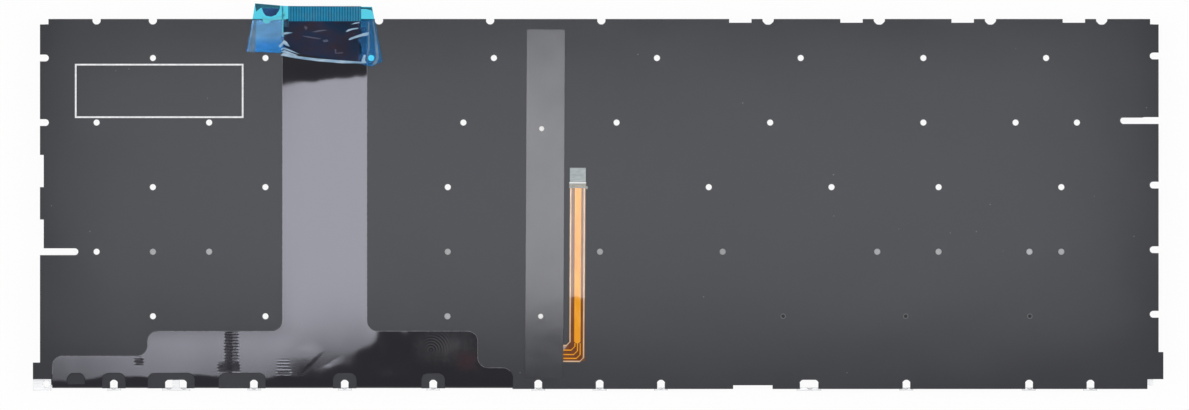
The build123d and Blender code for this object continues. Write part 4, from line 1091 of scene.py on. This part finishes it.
BRIGHT_LINE = ((281.9, 6.0), (283.3, 6.2), (283.5, 36.0), (282.3, 36.0))
CYAN_FOLD = ((261.8, 16.6), (266.0, 18.0), (272.0, 18.4), (278.0, 16.2), (286.4, 13.6), (286.4, 19.4),
             (277.0, 20.0),
             (271.0, 20.6), (269.0, 23.0), (266.2, 23.8), (263.6, 22.4))
PALE_TEAR = ((280.2, 6.2), (285.6, 6.6), (283.8, 10.0), (286.2, 13.0), (283.6, 17.0), (281.2, 13.0),
             (282.0, 9.6))
CREASE_HIGHLIGHTS = (
    ((280.6, 55.4), (283.2, 53.0), (289.0, 54.0), (298.0, 56.2), (318.0, 58.6), (344.0, 60.6), (362.0, 61.8),
     (365.4, 63.4), (342.0, 63.3), (317.0, 61.2), (299.0, 58.8), (290.0, 57.3)),
    ((281.0, 51.8), (284.6, 50.0), (290.0, 52.2), (298.5, 55.6), (292.0, 55.4), (286.0, 53.2)),
    ((280.4, 49.6), (284.0, 47.4), (290.4, 49.8), (300.0, 54.4), (290.2, 51.4), (284.6, 49.4)),
    ((278.4, 46.2), (281.8, 42.8), (284.0, 40.0), (287.0, 42.0), (289.8, 46.6), (285.8, 45.4), (283.6, 44.0),
     (280.8, 47.8)),
    ((361.2, 62.4), (362.6, 57.6), (364.4, 54.6), (366.0, 55.6), (365.0, 60.0), (366.6, 63.2)),
    ((281.8, 33.0), (287.0, 32.0), (293.0, 32.7), (287.0, 34.2), (281.8, 35.0)),
    ((345.6, 31.8), (348.0, 29.6), (353.0, 28.3), (358.4, 27.7), (358.2, 28.9), (352.2, 29.9), (347.6, 31.7)),
    ((348.4, 39.8), (350.6, 37.8), (356.0, 35.8), (363.0, 33.4), (369.0, 32.2), (368.6, 35.2), (361.0, 36.6),
     (354.0, 38.7), (349.8, 40.1)),
    ((351.0, 24.6), (355.0, 22.6), (359.6, 22.0), (359.4, 23.0), (355.4, 23.8)),
)
FAINT_CREASE_HIGHLIGHTS = (
    ((312.0, 32.1), (317.0, 30.5), (324.0, 29.8), (328.0, 30.3), (322.0, 31.1), (315.0, 32.3)),
    ((303.0, 35.6), (312.0, 37.1), (321.0, 38.5), (320.0, 39.3), (311.0, 38.1), (303.4, 36.6)),
    ((335.0, 49.0), (336.4, 49.4), (336.2, 52.8), (343.0, 52.4), (343.0, 53.2), (335.0, 53.6)),
    ((305.0, 25.6), (307.6, 27.6), (306.8, 30.4), (304.2, 28.0)),
    ((322.0, 40.0), (327.0, 39.4), (329.0, 41.4), (324.0, 42.4)),
)


def foil_tone(name, dark, pale, roughness, alpha):
    """A finish of a patch on the foil, doubled foil or a painted crease highlight, between two tones and
    partly clear.
    """
    finish, tree, shader, place = new_finish(name, pale, roughness, 0.03)
    two_tone(tree, shader, stretch(tree, place, (0.6, 1.6, 1.0)), 500.0, dark, pale)
    shader.inputs["Alpha"].default_value = alpha
    return finish


CREASE_Z = FOLD_Z + 0.021 * MM
FOIL_FOLDS = (
    ("foil_ear", (EAR,), FOLD_Z,
     ("ear_foil", (0.010, 0.025, 0.10), (0.02, 0.08, 0.24), 0.2, 0.85)),
    ("foil_hems", (EAR_HEM, RIGHT_HEM), FOLD_Z,
     ("hem_foil", (0.006, 0.05, 0.08), (0.02, 0.12, 0.2), 0.2, 0.7)),
    ("foil_sides", (LEFT_SIDE, RIGHT_SIDE, RIGHT_STRIPE), FOLD_Z,
     ("side_foil", (0.12, 0.24, 0.36), (0.30, 0.42, 0.55), 0.25, 0.4)),
    ("foil_line", (BRIGHT_LINE, PALE_TEAR, CYAN_FOLD), CREASE_Z,
     ("line_foil", (0.09, 0.56, 0.72), (0.18, 0.74, 0.84), 0.25, 0.7)),
    # Painted highlights: the pale and faint patches along the creases stand in for creased foil catching the
    # light.
    ("foil_crease_highlights", CREASE_HIGHLIGHTS, CREASE_Z,
     ("crease_highlight_foil", (0.20, 0.36, 0.52), (0.46, 0.60, 0.74), 0.3, 0.9)),
    ("faint_crease_highlights", FAINT_CREASE_HIGHLIGHTS, CREASE_Z,
     ("faint_highlight_foil", (0.06, 0.07, 0.12), (0.13, 0.14, 0.2), 0.3, 0.8)),
)
for name, outlines, z, tone in FOIL_FOLDS:
    draw_patches(name, outlines, z, foil_tone(*tone))

# %% [markdown]
# The strip, its tape and its tail were laid by hand and lie a little askew. All of their
# pieces turn together by a fraction of a degree about the top of the strip.

# %% Strip laid askew
ASKEW, SIDEWAYS = math.radians(-0.3), -0.15 * MM
pivot = Vector(((tape_low.x + tape_high.x) / 2, tape_high.y, 0.0))
laid = (Matrix.Translation(pivot + Vector((SIDEWAYS, 0.0, 0.0))) @ Matrix.Rotation(ASKEW, 4, "Z")
        @ Matrix.Translation(-pivot))
for piece in (flex_strip, tracks, edge_lines, flex_board, tape, end_line, end_band, end_foot):
    piece.data.transform(laid)
print("strip turned by", round(math.degrees(ASKEW), 2), "degrees")

# %% [markdown]
# ## The keycaps
# The caps lie underneath and face the floor, so they show from below and from the sides. A
# cap is a shallow moulded cup. Bevels round its corners and rim, and two insets, each moved
# a little inwards, dish its top. The legends are plain letters, figures and short words:
# text that is turned to face down, made a mesh and joined to its cap as a second finish.

# %% Finishes of caps and legends
cap_finish, tree, shader, place = new_finish("moulded_black", (0.012, 0.012, 0.013), 0.45, 0.4)
touched = use_effect(tree, blotches, place, Scale=120.0, Low=0.38, High=0.55)
roughen(tree, shader, touched)
add_bump(tree, shader, use_effect(tree, grain, place, Scale=7000.0, Depth=6e-6))
legend_finish, tree, shader, place = new_finish("legend_print", (0.75, 0.76, 0.77), 0.5, 0.3)
two_tone(tree, shader, place, 1500.0, (0.68, 0.69, 0.70), (0.80, 0.81, 0.82))


# %% Shaping caps
def islands(mesh):
    """The boxes of a mesh's separate solids, in reading order as the keys are read."""
    form = bmesh.new()
    form.from_mesh(mesh)
    left, boxes = set(form.verts), []
    while left:
        group, edge_of_group = set(), [left.pop()]
        while edge_of_group:
            corner = edge_of_group.pop()
            group.add(corner)
            for edge in corner.link_edges:
                other = edge.other_vert(corner)
                if other in left:
                    left.remove(other)
                    edge_of_group.append(other)
        spots = [corner.co for corner in group]
        boxes.append((Vector([min(s[i] for s in spots) for i in range(3)]),
                      Vector([max(s[i] for s in spots) for i in range(3)])))
    form.free()
    return sorted(boxes, key=lambda box: (-round((box[0].y + box[1].y) / MM), -box[0].x))


CAP_CORNER, CAP_RIM = 1.0 * MM, 0.2 * MM
DISH_EDGE, DISH_FALL = 0.3 * MM, 0.05 * MM
DISH_SLOPE, DISH_DEPTH = 0.4 * MM, 0.03 * MM
LETTER_SIZE, WORD_SIZE = 4.6 * MM, 2.5 * MM
LEGEND_RAISE = 0.008 * MM


def add_legend(words, box):
    """A legend as a thin mesh in the dish of a cap, reading right from below."""
    size = LETTER_SIZE if len(words) == 1 else WORD_SIZE
    bpy.ops.object.select_all(action="DESELECT")
    bpy.ops.object.text_add()
    text = bpy.context.object
    text.data.body = words
    text.data.size = size
    text.data.align_x, text.data.align_y = "CENTER", "CENTER"
    text.data.extrude = LEGEND_RAISE
    text.data.resolution_u = 4
    bpy.ops.object.convert(target="MESH")
    text = bpy.context.object
    middle = (box[0] + box[1]) / 2
    text.location = (middle.x, middle.y, box[0].z + DISH_FALL + DISH_DEPTH)
    text.rotation_euler = (0.0, math.pi, 0.0)
    bpy.ops.object.transform_apply(location=True, rotation=True, scale=True)
    return text


def make_caps(node, name, words, body="module"):
    """Keycaps from a CAD node, rounded, dished and with their legends."""
    piece = merged_copy(node, name)
    boxes = islands(piece.data)
    start_edit(piece)
    choose(piece, "EDGE", upright)
    bpy.ops.mesh.bevel(offset=CAP_CORNER, segments=3, affect="EDGES")
    choose(piece, "EDGE", lambda edge: at_height(edge, 0.0))
    bpy.ops.mesh.bevel(offset=CAP_RIM, segments=2, affect="EDGES")
    choose(piece, "FACE", lambda face: face.normal.z < -0.99 and face.calc_center_median().z < 0.01 * MM)
    bpy.ops.mesh.inset(thickness=DISH_EDGE)
    bpy.ops.transform.translate(value=(0.0, 0.0, DISH_FALL))
    bpy.ops.mesh.inset(thickness=DISH_SLOPE)
    bpy.ops.transform.translate(value=(0.0, 0.0, DISH_DEPTH))
    end_edit()
    finish_piece(piece, [cap_finish, legend_finish], body, [node])
    legends = [add_legend(word, box) for word, box in zip(words, boxes) if word]
    for legend in legends:
        legend.data.materials.clear()
        legend.data.materials.append(legend_finish)
    if legends:
        join_pieces([piece, *legends], name)
    return boxes


# %% All the caps
FIXED_LEGENDS = {
    "function_row_keys": ["esc", *(f"F{number}" for number in range(1, 13)), "prt", "ins", "del",
                          "home", "end", "pg up", "pg dn"],
    "number_pad_keys": ["num", "/", "*", "-", "7", "8", "9", "+", "4", "5", "6", "1", "2", "3",
                        "enter", "0", "."],
    "arrow_keys": ["^", "<", ">", "v"],
    "punctuation_keys": ["`", "-", "=", "[", "]", "\\", ";", "'", ",", ".", "/"],
    "modifier_keys": ["backspace", "tab", "caps", "enter", "shift", "shift", "ctrl", "fn", "", "alt",
                      "alt", "menu", "ctrl"],
}
for node, words in FIXED_LEGENDS.items():
    boxes = make_caps(node, node.replace("_keys", "_caps"), words)
    print(node, len(boxes), "caps,", len(words), "legends")
moving_keys = {}
for node in sorted(frame["nodes"]):
    if node.startswith("key_"):
        letter = node.removeprefix("key_")
        cap_legend = letter.upper() if len(letter) == 1 else ""
        moving_keys[letter] = make_caps(node, f"cap_{letter}", [cap_legend], node)[0]
print(len(moving_keys), "moving caps")

# %% [markdown]
# ## The rubber domes
# Each key stands on a soft rubber dome that presses the membrane. It is a body of
# revolution: a circle is extruded ring by ring, and each new ring is scaled, as one draws
# a lampshade. The domes of the moving keys are pieces of their own, each with its own mesh;
# those of the fixed caps are one piece.

# %% One dome, and copies of it
dome_finish, tree, shader, place = new_finish("milky_rubber", (0.62, 0.64, 0.66), 0.4, 0.35)
two_tone(tree, shader, place, 300.0, (0.55, 0.57, 0.6), (0.68, 0.7, 0.72))
DOME_SEGMENTS = 16
DOME_RINGS = ((1.0, 0.0), (1.0, 0.06), (0.84, 0.14), (0.62, 0.62), (0.54, 0.72), (0.52, 1.0))
dome_boxes = islands(merged_copy("rubber_domes", "dome_places").data)
dome_radius = (dome_boxes[0][1].x - dome_boxes[0][0].x) / 2
bpy.data.objects.remove(bpy.data.objects["dome_places"])
bpy.ops.object.select_all(action="DESELECT")
bpy.ops.mesh.primitive_circle_add(vertices=DOME_SEGMENTS, radius=dome_radius, fill_type="NGON")
dome = bpy.context.object
start_edit(dome)
bpy.ops.mesh.select_all(action="SELECT")
for (wide, low), (narrow, high) in zip(DOME_RINGS, DOME_RINGS[1:]):
    bpy.ops.mesh.extrude_region_move(TRANSFORM_OT_translate={"value": (0.0, 0.0, -(high - low))})
    bpy.ops.transform.resize(value=(narrow / wide, narrow / wide, 1.0))
end_edit()


def key_over(box):
    """The moving key whose cap covers the middle of this box, if there is one."""
    middle = (box[0] + box[1]) / 2
    for letter, (low, high) in moving_keys.items():
        if low.x < middle.x < high.x and low.y < middle.y < high.y:
            return letter
    return None


def settle(piece):
    """Gives a piece between the membrane and a key a mesh of its own."""
    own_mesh(piece)


fixed_domes = []
for low, high in dome_boxes:
    copy = bpy.data.objects.new("dome", dome.data.copy())
    bpy.context.scene.collection.objects.link(copy)
    middle = (low + high) / 2
    copy.data.transform(Matrix.Translation((middle.x, middle.y, high.z))
                        @ Matrix.Diagonal((1.0, 1.0, high.z - low.z, 1.0)))
    letter = key_over((low, high))
    if letter is None:
        fixed_domes.append(copy)
        continue
    copy.name = f"dome_{letter}"
    finish_piece(copy, [dome_finish])
    settle(copy)
resting_domes = join_pieces(fixed_domes, "resting_domes")
finish_piece(resting_domes, [dome_finish], nodes=["rubber_domes"])
bpy.data.objects.remove(dome)
print(len(dome_boxes), "domes,", len(fixed_domes), "of them fixed")

# %% [markdown]
# ## The scissor links
# Two small frames crossed like scissors guide each moving key. The copies of the CAD links
# are bevelled, parted into single frames and joined again under their key.

# %% Links
link_finish, tree, shader, place = new_finish("white_link", (0.66, 0.67, 0.66), 0.38, 0.4)
two_tone(tree, shader, place, 250.0, (0.60, 0.61, 0.59), (0.72, 0.73, 0.72))
pairs = {}
for node in ("outer_links", "inner_links"):
    whole = merged_copy(node, "link")
    start_edit(whole)
    choose(whole, "EDGE", is_sharp)
    bpy.ops.mesh.bevel(offset=0.1 * MM, segments=1, affect="EDGES")
    end_edit()
    bpy.ops.mesh.separate(type="LOOSE")
    for part in list(bpy.context.selected_objects):
        pairs.setdefault(key_over(islands(part.data)[0]), []).append(part)
for count, (letter, parts) in enumerate(sorted(pairs.items())):
    scissor = join_pieces(parts, f"scissor_{letter}")
    finish_piece(scissor, [link_finish], nodes=["outer_links", "inner_links"] if count == 0 else [])
    settle(scissor)
print(len(pairs), "scissors")

# %% [markdown]
# ## The space bar's wire and the lights
# A bent steel wire keeps the long bar level; it turns with it. Twelve small lights sit
# under the strip, each a white package.

# %% Wire and lights
wire_finish, tree, shader, place = new_finish("drawn_steel", (0.55, 0.55, 0.56), 0.28, 0.5, 1.0)
drawn = stretch(tree, place, (0.2, 1.0, 1.0))
roughen(tree, shader, use_effect(tree, blotches, drawn, Scale=800.0, Low=0.22, High=0.36))
bevelled_copy("space_stabiliser", "space_wire", wire_finish, 0.04 * MM, "space_stabiliser")
light_finish, tree, shader, place = new_finish("light_package", (0.75, 0.73, 0.62), 0.35, 0.4)
two_tone(tree, shader, place, 1200.0, (0.70, 0.68, 0.55), (0.80, 0.78, 0.68))
bevelled_copy("lights", "strip_lights", light_finish, 0.05 * MM)

# %% [markdown]
# ## Sizes
# The box of the CAD model, as it was loaded, is printed.

# %% Print the CAD box
print("CAD", [round(v / MM, 3) for corner in cad_box for v in corner])
